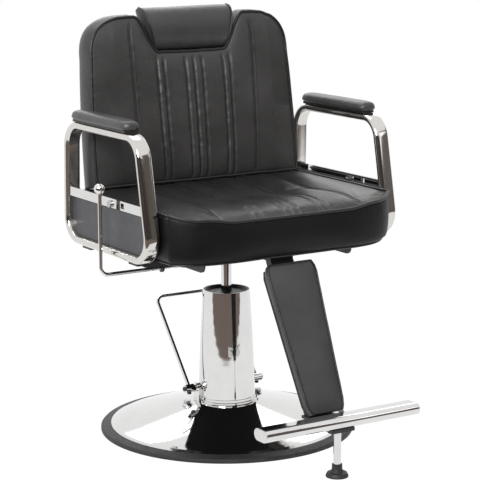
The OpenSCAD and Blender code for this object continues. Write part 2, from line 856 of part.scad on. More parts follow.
module seat_board() {
    outline = ring(seat_edge, seat_middle, seat_half, -seat_inset - seat_clear, 0);
    color("burlywood") translate([0, 0, seat_z]) linear_extrude(height = board_t)
        polygon([for (p = outline) [p.x, p.y]]);
}

module seat_cushion() {
    color("#303034") translate([0, 0, seat_z]) padded_form(seat_grid, [
        ring(seat_edge, seat_middle, seat_half, seat_bulge, 0.7 * seat_front_h),
        ring(seat_edge, seat_middle, seat_half, seat_bulge, 0.35 * seat_front_h),
        ring(seat_edge, seat_middle, seat_half, 0, 0.08 * seat_front_h),
        ring(seat_edge, seat_middle, seat_half, -seat_foot_roll, 0),
        ring(seat_edge, seat_middle, seat_half, -seat_inset, 0),
        ring(seat_edge, seat_middle, seat_half, -seat_inset, board_t)],
        [seat_middle.x, seat_middle.y, board_t]);
}

/* Arms */

// Corners of the arm tube's centre line, in Y and Z, round the loop
loop_corners = [
    [-arm_front_y + tube_t / 2, arm_low_z + tube_t / 2],
    [arm_rear_y - tube_t / 2, arm_low_z + tube_t / 2],
    [arm_rear_y - tube_t, arm_top_z - tube_t / 2],
    [-arm_front_y + tube_t / 2 + arm_lean, arm_top_z - tube_t / 2]];

function bend_half(a, p, b) = acos(unit(a - p) * unit(b - p)) / 2;
function bend_centre(a, p, b) = p + unit(unit(a - p) + unit(b - p)) * arm_bend_r / sin(bend_half(a, p, b));
function heading(v) = atan2(v.y, v.x);

// The loop's centre line as a filled outline with its bends, moved in by a distance
module loop_outline(in) {
    n = len(loop_corners);
    offset_r = arm_bend_r - in;
    polygon([for (i = [0 : n - 1]) let (
        a = loop_corners[(i + n - 1) % n], p = loop_corners[i], b = loop_corners[(i + 1) % n],
        c = bend_centre(a, p, b), h = heading(p - a) - 90, turn = 180 - 2 * bend_half(a, p, b))
        for (k = [0 : 12]) c + offset_r * [cos(h + turn * k / 12), sin(h + turn * k / 12)]]);
}

// Points round the tube's section, as [across the chair, out of the loop]
tube_cap_steps = 6;
tube_section = [for (side = [1, -1], k = [0 : tube_cap_steps])
    let (a = 180 * k / tube_cap_steps - 90 * side)
    [side * (tube_w - tube_t) / 2 + tube_t / 2 * cos(a), tube_t / 2 * sin(a)]];

// Stations along the centre line, each with its place and the direction out of the loop
bend_steps = 9;
loop_stations = [for (i = [0 : len(loop_corners) - 1]) let (n = len(loop_corners),
    a = loop_corners[(i + n - 1) % n], p = loop_corners[i], b = loop_corners[(i + 1) % n],
    c = bend_centre(a, p, b), h = heading(p - a) - 90, turn = 180 - 2 * bend_half(a, p, b))
    for (k = [0 : bend_steps]) let (out = [cos(h + turn * k / bend_steps), sin(h + turn * k / bend_steps)])
        [c + arm_bend_r * out, out]];

module arm_loop(side) {
    n = len(loop_stations);
    m = len(tube_section);
    points = [for (st = loop_stations, q = tube_section)
        [loop_mid_x + q.x, st[0].x + q.y * st[1].x, st[0].y + q.y * st[1].y]];
    faces = [for (j = [0 : n - 1], i = [0 : m - 1])
        let (k = (j + 1) % n, l = (i + 1) % m)
        each [[j * m + i, j * m + l, k * m + l], [j * m + i, k * m + l, k * m + i]]];
    color("gainsboro") side_mirror(side) polyhedron(points = points, faces = faces);
}

module arm_crossbars() {
    color("silver") both_sides() difference() {
        plate_x(crossbar_x, crossbar_t) intersection() {
            loop_outline(tube_t / 2);
            translate([-2 * arm_front_y, crossbar_z]) square([4 * arm_front_y, crossbar_h]);
        }
        translate([crossbar_x - over, slot_y - slot_len / 2, crossbar_z + (crossbar_h - slot_h) / 2])
            cube([crossbar_t + 2 * over, slot_len, slot_h]);
        rod_x(crossbar_x - over, crossbar_t + 2 * over, stud_r + running_clear,
            bolt_head_y, crossbar_z + crossbar_h / 2 - stud_r / 2);
    }
}

module side_panel(side) {
    color("#4a4a50") side_mirror(side) difference() {
        plate_x(crossbar_x - panel_t, panel_t) intersection() {
            loop_outline(tube_t / 2 + 3 * seat_clear);
            union() {
                translate([-2 * arm_front_y, 0]) square([4 * arm_front_y, panel_top_z]);
                translate([bolt_head_y - panel_tab_r, crossbar_z])
                    square([2 * panel_tab_r, (crossbar_h - stud_r) / 2]);
                translate([bolt_head_y, crossbar_z + (crossbar_h - stud_r) / 2]) circle(r = panel_tab_r);
            }
        }
        rod_x(crossbar_x - panel_t - over, panel_t + 2 * over, stud_r + running_clear,
            bolt_head_y, crossbar_z + crossbar_h / 2 - stud_r / 2);
    }
}

module arm_bolts() {
    color("silver") both_sides() {
        rod_x(crossbar_x - 2 * panel_t, crossbar_t + 2 * panel_t, stud_r,
            bolt_head_y, crossbar_z + crossbar_h / 2 - stud_r / 2);
        rod_x(crossbar_x + crossbar_t, bolt_head_h, bolt_head_r,
            bolt_head_y, crossbar_z + crossbar_h / 2 - stud_r / 2);
    }
}

module arm_boards() {
    color("black") both_sides()
        translate([loop_mid_x - arm_board_w / 2, pad_mid_y - arm_board_len / 2, arm_top_z])
            cube([arm_board_w, arm_board_len, arm_board_t]);
}

// Height of the pad's crown across and along it, and its width along it, as shares
pad_cross_shares = [0, 0.3, 0.6, 0.85, 1];
pad_row_shares = [0, 0.02, 0.06, 0.14, 0.3, 0.5, 0.7, 0.86, 0.94, 0.98, 1];
function pad_end(t) = pow(1 - pow(abs(2 * t - 1), 10), 0.4);

module arm_pad(side) {
    grid = [for (t = pad_row_shares) [for (s = both_ways(pad_cross_shares))
        let (end = 0.35 + 0.65 * pad_end(t)) [s * pad_w / 2 * end, pad_len * (t - 0.5),
            pad_h * (0.45 + 0.55 * sqrt(max(0, 1 - pow(abs(s), 2.6))) * end)]]];
    edge = grid_edge(grid);
    half = [pad_w / 2, pad_len / 2];
    color("#303034") side_mirror(side) translate([loop_mid_x, pad_mid_y, arm_top_z + arm_board_t])
        padded_form(grid, [ring(edge, [0, 0], half, -pad_tuck / 3, 0.12 * pad_h),
            ring(edge, [0, 0], half, -pad_tuck, 0)], [0, 0, 0]);
}

/* Recline lock and lever */

module lock_bracket() {
    t = rail_t;
    color("dimgray") difference() {
        union() {
            translate([rail_t - rail_x, lock_front_y - t, rail_z]) cube([rail_x - lock_x, t, rail_h]);
            rod_y(-lock_x, lock_front_y - t, t, lock_r + t, lock_z);
        }
        rod_y(-lock_x, lock_front_y - t - over, t + 2 * over, lock_button_r + running_clear, lock_z);
    }
}

module lock_cylinder() {
    color("black") difference() {
        union() {
            rod_y(-lock_x, lock_front_y, lock_rear_y - lock_front_y, lock_r, lock_z);
            rod_y(-lock_x, lock_front_y - rail_t - lock_button_len, rail_t + lock_button_len,
                lock_button_r, lock_z);
        }
        rod_y(-lock_x, lock_front_y + rail_t, lock_rear_y - lock_front_y, lock_rod_r + running_clear, lock_z);
    }
}

module lock_rod() {
    front = lock_rear_y - 0.2 * lock_travel;
    half_y = lock_pin_r + lock_eye_clear;
    half_z = lock_pin_r + lock_eye_clear + lock_rise;
    color("gainsboro") difference() {
        union() {
            rod_y(-lock_x, front, lock_pin_y - half_y - front, lock_rod_r, lock_z);
            translate([-lock_x, lock_pin_y, lock_z])
                cube([lock_eye_w, 2 * (half_y + lock_eye_wall), 2 * (half_z + lock_eye_wall)], center = true);
        }
        translate([-lock_x, lock_pin_y, lock_z])
            cube([2 * lock_eye_w, 2 * half_y, 2 * half_z], center = true);
    }
}

module lever_rod() {
    top = lever_z + lever_len - knob_r / 2;
    color("gainsboro") {
        rod_x(-lever_x + lever_bend_r, lever_x - lever_bend_r - lever_in_x, lever_rod_r, -lever_y, lever_z);
        translate([-lever_x + lever_bend_r, -lever_y, lever_z + lever_bend_r]) rotate([90, 0, 0])
            rotate([0, 0, 180]) rotate_extrude(angle = 90) translate([lever_bend_r, 0])
            circle(r = lever_rod_r, $fn = 32);
        translate([-lever_x, -lever_y, lever_z + lever_bend_r])
            cylinder(h = top - lever_z - lever_bend_r, r = lever_rod_r);
        rod_x(-lever_in_x - lever_cam_w, lever_cam_w, lever_cam_r, -lever_y, lever_z);
        translate([-lever_in_x - lever_cam_w, -lever_y - lever_cam_w / 2, lever_z])
            cube([lever_cam_w, lever_cam_w, lever_cam_h]);
    }
}

module lever_knob() {
    color("white") difference() {
        translate([-lever_x, -lever_y, lever_z + lever_len]) sphere(r = knob_r);
        translate([-lever_x, -lever_y, lever_z + lever_len - knob_r - over])
            cylinder(h = over + knob_r / 2, r = lever_rod_r + running_clear);
    }
}

/* Footrest */

module footrest_arm() {
    reach = rail_front_y + 2 * rail_t;
    color("black") translate([-footrest_half_w, -reach, frame_z])
        cube([2 * footrest_half_w, reach + front_tube_y, footrest_arm_h]);
}

module footrest_bar() {
    back = calf_t + calf_board_t;
    foot_z = bar_z - footrest_t / 2;
    color("black") difference() {
        union() {
            calf_frame() translate([-footrest_half_w, -back, -back - footrest_t])
                cube([2 * footrest_half_w, calf_len + 4 * back, footrest_t]);
            translate([-foot_plate_half_w, -bar_y, foot_z])
                cube([2 * foot_plate_half_w, bar_y - calf_y + back + footrest_t, foot_plate_t]);
        }
        footbar_solid(bar_len, 0);
        for (z = [frame_z, foot_z - seat_z]) translate([-2 * footrest_half_w, -seat_z, z])
            cube([4 * footrest_half_w, seat_z, seat_z]);
    }
}

// Half width of the calf pad at a share of its length, with rounded ends
calf_end_shares = [[0, 0.86], [0.03, 0.95], [0.07, 1], [0.93, 1], [0.97, 0.95], [1, 0.86]];
function calf_half(t) = (calf_foot_w + (calf_top_w - calf_foot_w) * t) * lookup(t, calf_end_shares);

module calf_board() {
    color("black") calf_frame() translate([0, 0, -calf_t - calf_board_t])
        linear_extrude(height = calf_board_t) polygon(concat(
            [for (t = [0.02, 0.07, 0.93, 0.98]) [calf_half(t) - calf_bulge, t * calf_len]],
            [for (t = [0.98, 0.93, 0.07, 0.02]) [calf_bulge - calf_half(t), t * calf_len]]));
}

calf_row_shares = [0, 0.03, 0.07, 0.2, 0.4, 0.6, 0.8, 0.93, 0.97, 1];
calf_cross_shares = [0, 0.5, 0.85, 1];

module calf_pad() {
    grid = [for (t = calf_row_shares) [for (s = both_ways(calf_cross_shares))
        [s * calf_half(t), calf_len * t,
            calf_t * 0.3 * (1 - pow(abs(s), 3)) * (1 - pow(abs(2 * t - 1), 8))]]];
    edge = grid_edge(grid);
    middle = [0, calf_len / 2];
    half = [calf_top_w, calf_len / 2];
    color("#303034") calf_frame() padded_form(grid, [
        ring(edge, middle, half, calf_bulge, -0.35 * calf_t),
        ring(edge, middle, half, calf_bulge / 2, -0.75 * calf_t),
        ring(edge, middle, half, -calf_bulge, -calf_t)], [middle.x, middle.y, -calf_t]);
}

// The foot bar's outer form, drawn in by a wall
module footbar_solid(length, wall) {
    translate([-length / 2, -bar_y, bar_z]) rotate([90, 0, 90]) linear_extrude(height = length)
        rotate([0, 0, 90]) oval(bar_h - 2 * wall, bar_d - 2 * wall);
}

module footbar() {
    color("gainsboro") difference() {
        footbar_solid(bar_len - 2 * cap_plate, 0);
        footbar_solid(bar_len + over, bar_wall);
    }
}

module footbar_caps() {
    color("silver") both_sides() {
        translate([bar_len / 2 - cap_plate / 2, 0, 0]) footbar_solid(cap_plate, 0);
        translate([bar_len / 2 - cap_plate - cap_plug / 2, 0, 0])
            footbar_solid(cap_plug, bar_wall + running_clear);
    }
}

module leg_plate() {
    color("black") translate([-leg_plate_half_w, -bar_y - leg_plate_half_d, leg_top_z])
        cube([2 * leg_plate_half_w, 2 * leg_plate_half_d, leg_plate_t]);
}

module support_leg() {
    color("silver") translate([0, -leg_y, leg_foot_z]) difference() {
        cylinder(h = leg_top_z - leg_foot_z, r = leg_r);
        translate([0, 0, -over])
            cylinder(h = stud_top_z - leg_foot_z + 2 * over, r = stud_r + running_clear);
    }
}

module foot_stud() {
    color("silver") translate([0, -leg_y, foot_disc_h]) cylinder(h = stud_top_z - foot_disc_h, r = stud_r);
}

module rubber_foot() {
    color("black") translate([0, -leg_y, 0]) difference() {
        rotate_extrude() polygon([[0, 0], [foot_r, 0], [foot_r, foot_disc_h / 3],
            [foot_r - foot_disc_h / 3, foot_disc_h], [foot_neck_r + foot_disc_h / 3, 1.1 * foot_disc_h],
            [foot_neck_r, foot_disc_h * 2], [foot_neck_r, foot_neck_z], [0, foot_neck_z]]);
        translate([0, 0, foot_disc_h]) cylinder(h = foot_neck_z, r = stud_r + running_clear);
    }
}

/* Back */

function shoulder_drop(d) = pow(max(0, 1 - pow(max(0, d), corner_power)), 1 / corner_power);
corner_foot_h = shoulder_h - corner_h;
corner_in_w = back_half_w - side_taper - corner_w;
// Height of the back's top edge at a distance from its middle
function back_top(u) = let (a = abs(u)) a < corner_in_w
    ? notch_h + (shoulder_h - notch_h) * smooth((a - notch_half_w) / notch_slope_w)
    : corner_foot_h + corner_h * shoulder_drop((a - corner_in_w) / corner_w);
// Half width of the back at a height
function back_side(v) = v < corner_foot_h
    ? back_half_w - side_taper * pow(max(0, v) / corner_foot_h, 2)
    : corner_in_w + corner_w * shoulder_drop((v - corner_foot_h) / corner_h);
corner_v = corner_foot_h + 0.72 * corner_h;
corner_u = back_side(corner_v);

// Half positions of the back's columns at its foot, as shares of its half width
back_seam_share = 0.57;
back_groove_shares = [0, 0.077, 0.28, 0.343];
back_half_shares = [0, 0.018, 0.06, 0.077, 0.095, 0.18, 0.262, 0.28, 0.298, 0.325, 0.343, 0.361,
    0.45, 0.552, 0.57, 0.588, 0.72, 0.85, 0.95, 1];
back_row_shares = [0, 0.03, 0.08, 0.18, 0.3, 0.42, 0.54, 0.66, 0.78, 0.87, 0.93, 0.98, 1];

// The edges of the back: its top from corner to corner and its side from foot to corner
function top_u(s) = let (a = abs(s)) sign(s) * (a < 0.6 ? a * back_half_w
    : 0.6 * back_half_w + (a - 0.6) / 0.4 * (corner_u - 0.6 * back_half_w));
function side_v(t) = back_foot + (corner_v - back_foot) * t;
function back_uv(s, t) = let (top = [top_u(s), back_top(top_u(s))], foot = [s * back_half_w, back_foot],
        v = side_v(t), side = [back_side(v), v])
    [(1 - t) * foot.x + t * top.x + s * (side.x - ((1 - t) * back_half_w + t * corner_u)),
     (1 - t) * foot.y + t * top.y + (side.y - ((1 - t) * back_foot + t * corner_v))];
function back_dips(s) = let (a = abs(s), reach = groove_half_w / back_half_w)
    seam_dip * dip(a, back_seam_share, 1.1 * reach)
    + groove_dip * max([for (g = back_groove_shares) dip(a, g, 1.1 * reach)]);
function back_height(s, t) = let (a = abs(s),
        across = pow(max(0, 1 - pow(a, 3)), 0.6),
        along = pow(max(0, 1 - pow(abs(2 * t - 1), 5)), 0.6),
        bolster = back_crown * 0.4 * dip(a, 0.76, 0.2) * along)
    back_crown * across * along + bolster - back_dips(s) * smooth((1 - t) / 0.08) * smooth(t / 0.03);

back_grid = [for (t = back_row_shares) [for (s = both_ways(back_half_shares))
    let (p = back_uv(s, t)) [p.x, p.y, back_height(s, t)]]];
back_edge = grid_edge(back_grid);
// From this point every part of the back's outline can be seen, which keeps its rings from folding
back_middle = [0, 0.15 * shoulder_h];
back_half = [back_half_w, 0.85 * shoulder_h];
// The share of the bulge at a point of the edge: none in the notch, where the pillow slides
function bulge_share(p) = p.y < notch_h / 2 ? 1 : smooth((abs(p.x) - notch_half_w) / notch_slope_w);
function back_ring(out, height) = [for (p = back_edge) let (k = out * bulge_share(p))
    [p.x * (1 + k / back_half.x), p.y + (p.y - back_middle.y) * k / back_half.y, height]];

module back_cushion() {
    color("#303034") back_frame() padded_form(back_grid, [
        back_ring(0.75 * back_bulge, -0.25 * back_t),
        back_ring(back_bulge, -0.6 * back_t),
        back_ring(0.75 * back_bulge, -back_t),
        ring(back_edge, back_middle, back_half, -back_inset, -back_t),
        ring(back_edge, back_middle, back_half, -back_inset, board_t - back_t)],
        [back_middle.x, back_middle.y, board_t - back_t]);
}

module back_board() {
    outline = ring(back_edge, back_middle, back_half, -back_inset - seat_clear, 0);
    color("burlywood") back_frame() translate([0, 0, -back_t]) linear_extrude(height = board_t)
        polygon([for (p = outline) [p.x, p.y]]);
}

// The rear cover's crowned form, with pockets for the straps and the guide
module back_cover() {
    rows = [0, 0.04, 0.12, 0.3, 0.5, 0.7, 0.85, 0.93, 0.98, 1];
    halves = [0, 0.15, 0.3, 0.36, 0.45, 0.6, 0.75, 0.9, 1];
    outline = [for (t = rows) [for (s = both_ways(halves)) let (p = back_uv(s, t),
        k = 1 - cover_inset / back_half_w)
        [p.x * k, back_middle.y + (p.y - back_middle.y) * k, -back_t]]];
    edge = grid_edge(outline);
    color("#303034") back_frame() difference() {
        mirror([0, 0, 1]) translate([0, 0, back_t]) padded_form(
            [for (j = [0 : len(rows) - 1]) [for (i = [0 : len(outline[0]) - 1])
                let (s = both_ways(halves)[i], t = rows[j], p = outline[j][i])
                [p.x, p.y, rear_cover_t - rear_roll + (rear_roll + rear_crown)
                    * pow(max(0, 1 - pow(abs(s), 4)) * max(0, 1 - pow(abs(2 * t - 1), 8)), 0.5)]]],
            [ring(edge, back_middle, back_half, back_bulge / 4, 0.4 * rear_cover_t),
                ring(edge, back_middle, back_half, 0, 0)],
            [back_middle.x, back_middle.y, 0]);
        both_sides() translate([bracket_x - strap_w - seat_clear, 2 * back_foot,
            -back_t - bracket_t - seat_clear])
            cube([strap_w + 2 * seat_clear, strap_len + seat_clear - 2 * back_foot, bracket_t + over]);
        translate([-guide_out / 2 - moving_clear, guide_foot_v - seat_clear,
            -back_t - guide_depth - seat_clear])
            cube([guide_out + 2 * moving_clear, shoulder_h, guide_depth + seat_clear + over]);
    }
}

// A bracket: its hinge lobe and its strap behind the back board
strap_foot = -26;
module bracket_outline() {
    translate([pivot_y, pivot_z]) circle(r = bracket_r);
    polygon([[pivot_y - bracket_r, pivot_z], [pivot_y + bracket_r, pivot_z],
        bracket_join(back_t + bracket_t, 2 * back_foot), bracket_join(back_t, 2 * back_foot)]);
}
function bracket_join(depth, v) = [back_y + depth * cos(back_lean) + v * sin(back_lean),
    back_z - depth * sin(back_lean) + v * cos(back_lean)];

module bracket_shape() {
    difference() {
        union() {
            plate_x(bracket_x - bracket_t, bracket_t) bracket_outline();
            back_frame() translate([bracket_x - strap_w, strap_foot, -back_t - bracket_t])
                cube([strap_w, strap_len - strap_foot, bracket_t]);
        }
        rod_x(bracket_x - bracket_t - over, bracket_t + 2 * over, pin_r + running_clear, pivot_y, pivot_z);
    }
}

module back_bracket_left() {
    color("dimgray") bracket_shape();
}

module back_bracket_right() {
    color("dimgray") {
        mirror([1, 0, 0]) bracket_shape();
        translate([-bracket_x, 0, 0]) difference() {
            plate_x(0, bracket_t) {
                translate([pivot_y, pivot_z]) rotate([0, 0, lock_swing])
                    translate([-bracket_r / 2, -lock_arm_len]) square([bracket_r, lock_arm_len]);
                translate([lock_pin_y, lock_pin_z]) circle(r = bracket_r / 2);
            }
            rod_x(-over, bracket_t + 2 * over, pin_r + running_clear, pivot_y, pivot_z);
        }
        rod_x(-bracket_x, bracket_x - lock_x + lock_eye_w, lock_pin_r, lock_pin_y, lock_pin_z);
    }
}

module headrest_guide() {
    len = guide_top_v - guide_foot_v;
    color("dimgray") back_frame() translate([0, guide_foot_v, -back_t - guide_depth]) difference() {
        translate([-guide_out / 2, 0, 0]) cube([guide_out, len, guide_depth]);
        translate([-guide_in / 2, -over, guide_wall / 2]) cube([guide_in, len + 2 * over, guide_depth]);
    }
}

module headrest_post() {
    color("gainsboro") back_frame() translate([-post_w / 2, post_foot_v, -back_t - moving_clear - post_t])
        cube([post_w, post_top_v - post_foot_v, post_t]);
}

module headrest_board() {
    color("#303034") back_frame() translate([0, 0, -back_t - moving_clear])
        linear_extrude(height = pillow_board_t) polygon([for (c = [[-0.8 * pillow_foot_w, 0.08], [0.8 * pillow_foot_w, 0.08],
            [0.85 * pillow_top_w, 0.92], [-0.85 * pillow_top_w, 0.92]])
            [c.x, pillow_foot_v + c.y * pillow_h]]);
}

pillow_row_shares = [0, 0.05, 0.14, 0.28, 0.45, 0.62, 0.78, 0.9, 0.97, 1];
pillow_cross_shares = [0, 0.4, 0.75, 0.92, 1];

module headrest_pillow() {
    rear = -back_t - moving_clear + pillow_board_t;
    front = rear + pillow_t;
    grid = [for (t = pillow_row_shares) [for (s = both_ways(pillow_cross_shares))
        let (round = pow(max(0, 1 - pow(abs(2 * t - 1), 2.2)), 0.5), end = 1 - 0.12 * pow(abs(s), 8))
        [s * (pillow_foot_w + (pillow_top_w - pillow_foot_w) * pow(t, pillow_flare_power)),
            pillow_foot_v + pillow_h * t,
            rear + (pillow_t - pillow_bulge) * (0.45 + 0.55 * round * end) + pillow_bulge * round * end]]];
    edge = grid_edge(grid);
    middle = [0, pillow_foot_v + pillow_h / 2];
    half = [pillow_top_w, pillow_h / 2];
    color("#303034") back_frame() padded_form(grid, [
        ring(edge, middle, half, -pillow_tuck / 8, rear + 0.2 * pillow_t),
        ring(edge, middle, half, -pillow_tuck, rear)], [middle.x, middle.y, rear]);
}

base_trim();
base_plate();
base_dish();
base_bolts();
pump_flange();
pump_cylinder();
pump_gland();
column_cover();
column_cap();
ram_piston();
thrust_bearing();
pump_plunger();
pedal_shafts();
pedal_clamps();
pedal_screws();
pedal_bar();
spindle();
seat_hub();
mount_plate();
frame_bolts();
cross_tubes();
rail(1);  // rail_left
rail(-1);  // rail_right
hinge_pins();
seat_board();
seat_cushion();
arm_loop(1);  // arm_loop_left
arm_loop(-1);  // arm_loop_right
arm_crossbars();
side_panel(1);  // side_panel_left
side_panel(-1);  // side_panel_right
arm_bolts();
arm_boards();
arm_pad(1);  // arm_pad_left
arm_pad(-1);  // arm_pad_right
lock_bracket();
lock_cylinder();
lock_rod();
lever_rod();
lever_knob();
footrest_arm();
footrest_bar();
calf_board();
calf_pad();
footbar();
footbar_caps();
leg_plate();
support_leg();
foot_stud();
rubber_foot();
back_board();
back_cushion();
back_cover();
back_bracket_left();
back_bracket_right();
headrest_guide();
headrest_post();
headrest_board();
headrest_pillow();
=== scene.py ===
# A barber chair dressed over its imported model: upholstery, chrome, enamel and rubber,
# seen by the photograph's camera in a studio's light
import json
import math
import bpy
import numpy as np
from mathutils import Matrix, Vector, noise


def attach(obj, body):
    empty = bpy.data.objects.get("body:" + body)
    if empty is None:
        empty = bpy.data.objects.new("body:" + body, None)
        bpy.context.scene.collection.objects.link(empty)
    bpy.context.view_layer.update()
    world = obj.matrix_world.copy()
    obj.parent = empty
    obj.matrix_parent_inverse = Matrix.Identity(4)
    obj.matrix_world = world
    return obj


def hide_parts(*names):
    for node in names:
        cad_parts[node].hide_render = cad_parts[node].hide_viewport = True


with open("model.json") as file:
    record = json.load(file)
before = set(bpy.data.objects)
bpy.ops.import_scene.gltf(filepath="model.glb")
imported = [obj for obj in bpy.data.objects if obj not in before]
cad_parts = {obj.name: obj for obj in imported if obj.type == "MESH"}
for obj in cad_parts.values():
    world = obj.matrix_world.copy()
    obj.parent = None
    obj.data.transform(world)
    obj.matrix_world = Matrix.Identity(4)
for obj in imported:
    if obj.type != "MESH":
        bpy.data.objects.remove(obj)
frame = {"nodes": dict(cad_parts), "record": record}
bpy.context.scene.view_settings.view_transform = "Standard"
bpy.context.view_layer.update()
NODES = frame["nodes"]
MM = 0.001
SIDES = {"left": 1.0, "right": -1.0}

# The camera, as the photograph was taken
CAMERA_PLACE = (-2.2022, -3.586, 1.2682)
CAMERA_YAW, CAMERA_PITCH, CAMERA_ROLL = 32.0, 11.0, 0.2
FOCAL_PX, PHOTO_PX, SENSOR_MM = 1828.5, 480, 36
lens = bpy.data.cameras.new("lens")
lens.sensor_fit = "HORIZONTAL"
lens.sensor_width = SENSOR_MM
lens.lens = SENSOR_MM * FOCAL_PX / PHOTO_PX
camera = bpy.data.objects.new("camera", lens)
bpy.context.scene.collection.objects.link(camera)
camera.location = CAMERA_PLACE
yaw, pitch = math.radians(CAMERA_YAW), math.radians(CAMERA_PITCH)
flat = math.cos(pitch)
line_of_sight = Vector((math.sin(yaw) * flat, math.cos(yaw) * flat, -math.sin(pitch)))
turn = line_of_sight.to_track_quat("-Z", "Y").to_matrix().to_4x4()
roll = Matrix.Rotation(math.radians(-CAMERA_ROLL), 4, "Z")
camera.matrix_world = Matrix.Translation(CAMERA_PLACE) @ turn @ roll
bpy.context.scene.camera = camera


# Materials
class Shade:
    """A node material under construction."""

    def __init__(self, name):
        self.mat = bpy.data.materials.new(name)
        self.mat.use_nodes = True
        self.tree = self.mat.node_tree
        self.bsdf = self.tree.nodes["Principled BSDF"]
        self.place = self.node("ShaderNodeTexCoord").outputs["Object"]

    def node(self, kind, **props):
        n = self.tree.nodes.new(kind)
        for key, value in props.items():
            setattr(n, key, value)
        return n

    def link(self, a, b):
        self.tree.links.new(a, b)

    def stretched(self, scale):
        m = self.node("ShaderNodeMapping")
        m.inputs["Scale"].default_value = scale
        self.link(self.place, m.inputs["Vector"])
        return m.outputs["Vector"]

    def noise(self, scale, detail=3.0, rough=0.55, vector=None, distortion=0.0):
        n = self.node("ShaderNodeTexNoise")
        n.inputs["Scale"].default_value = scale
        n.inputs["Detail"].default_value = detail
        n.inputs["Roughness"].default_value = rough
        n.inputs["Distortion"].default_value = distortion
        self.link(vector or self.place, n.inputs["Vector"])
        return n.outputs["Fac"]

    def cells(self, scale):
        n = self.node("ShaderNodeTexVoronoi", feature="F1")
        n.inputs["Scale"].default_value = scale
        self.link(self.place, n.inputs["Vector"])
        return n.outputs["Distance"]

    def span(self, value, low, high, to_low, to_high):
        n = self.node("ShaderNodeMapRange")
        self.link(value, n.inputs["Value"])
        for key, v in (("From Min", low), ("From Max", high), ("To Min", to_low), ("To Max", to_high)):
            n.inputs[key].default_value = v
        return n.outputs["Result"]

    def mix(self, factor, a, b):
        n = self.node("ShaderNodeMix", data_type="RGBA")
        self.link(factor, n.inputs["Factor"])
        for i, c in ((6, a), (7, b)):
            if hasattr(c, "links") or hasattr(c, "node"):
                self.link(c, n.inputs[i])
            else:
                n.inputs[i].default_value = (*c, 1)
        return n.outputs[2]

    def add(self, a, b, how="ADD"):
        n = self.node("ShaderNodeMath", operation=how)
        for i, v in enumerate((a, b)):
            if isinstance(v, (int, float)):
                n.inputs[i].default_value = v
            else:
                self.link(v, n.inputs[i])
        return n.outputs[0]

    def bump(self, height, distance, strength=1.0, under=None):
        n = self.node("ShaderNodeBump")
        n.inputs["Strength"].default_value = strength
        n.inputs["Distance"].default_value = distance
        self.link(height, n.inputs["Height"])
        if under is not None:
            self.link(under, n.inputs["Normal"])
        return n.outputs["Normal"]

    def set(self, **values):
        for key, v in values.items():
            socket = self.bsdf.inputs[key.replace("_", " ")]
            if hasattr(v, "node"):
                self.link(v, socket)
            else:
                socket.default_value = (*v, 1) if isinstance(v, tuple) else v
        return self


def leather(name, dark, light, rough, gloss=0.5):
    """Leatherette: pebble grain, soft creases and slightly polished high spots."""
    m = Shade(name)
    pebble = m.span(m.cells(720), 0.0, 0.75, 0.0, 1.0)
    fine = m.noise(2600, 2.0)
    grain = m.add(pebble, m.add(fine, 0.35, "MULTIPLY"))
    crease = m.span(m.noise(46, 4.0, 0.6, distortion=1.2), 0.35, 0.65, 0.0, 1.0)
    cloud = m.noise(9, 3.0)
    base = m.mix(m.span(cloud, 0.35, 0.7, 0.0, 1.0), dark, light)
    low = m.bump(crease, 0.0009, 0.35)
    m.set(Base_Color=base, Roughness=m.add(m.span(cloud, 0.3, 0.7, rough - 0.035, rough + 0.04),
                                           m.span(pebble, 0.0, 1.0, 0.03, -0.03)),
          Normal=m.bump(grain, 0.00016, 0.55, low))
    m.set(Coat_Weight=0.12 * gloss, Coat_Roughness=0.35, Specular_IOR_Level=gloss)
    return m.mat


def chrome(name, tint=(0.74, 0.735, 0.73), rough=0.05):
    """Chromium plate: slight ripple, faint wiping haze and tiny specks."""
    m = Shade(name)
    haze = m.noise(14, 5.0, 0.65)
    specks = m.span(m.noise(900, 1.0), 0.70, 0.78, 0.0, 0.08)
    ripple = m.noise(26, 1.0)
    m.set(Base_Color=m.mix(m.span(haze, 0.35, 0.7, 0.0, 1.0), tint, tuple(0.93 * c for c in tint)),
          Metallic=1.0,
          Roughness=m.add(m.span(haze, 0.4, 0.75, rough, rough + 0.05), specks),
          Normal=m.bump(ripple, 0.0006, 0.12))
    return m.mat


def enamel(name, colour, rough):
    """Sprayed enamel with orange peel and worn, slightly paler spots."""
    m = Shade(name)
    peel = m.noise(420, 2.0)
    wear = m.span(m.noise(35, 6.0, 0.7), 0.62, 0.72, 0.0, 1.0)
    m.set(Base_Color=m.mix(wear, colour, tuple(min(1, 1.7 * c + 0.01) for c in colour)),
          Roughness=m.span(m.noise(60, 3.0), 0.3, 0.7, rough - 0.05, rough + 0.07),
          Normal=m.bump(peel, 0.0003, 0.35))
    return m.mat


def steel(name, colour=(0.55, 0.55, 0.56), rough=0.3, along=(1, 1, 60)):
    """Plain plated steel with fine drawn lines."""
    m = Shade(name)
    lines = m.noise(30, 4.0, 0.7, m.stretched(along))
    m.set(Base_Color=m.mix(m.noise(12, 3.0), colour, tuple(0.8 * c for c in colour)), Metallic=1.0,
          Roughness=m.span(lines, 0.3, 0.7, rough - 0.07, rough + 0.08),
          Normal=m.bump(lines, 0.0002, 0.2))
    return m.mat


def rubber(name, colour=(0.016, 0.016, 0.017), rough=0.55):
    m = Shade(name)
    dust = m.span(m.noise(22, 6.0, 0.7), 0.5, 0.72, 0.0, 1.0)
    m.set(Base_Color=m.mix(dust, colour, tuple(c + 0.02 for c in colour)),
          Roughness=m.span(m.noise(90, 3.0), 0.3, 0.7, rough - 0.06, rough + 0.08),
          Normal=m.bump(m.noise(700, 3.0), 0.0003, 0.4))
    return m.mat


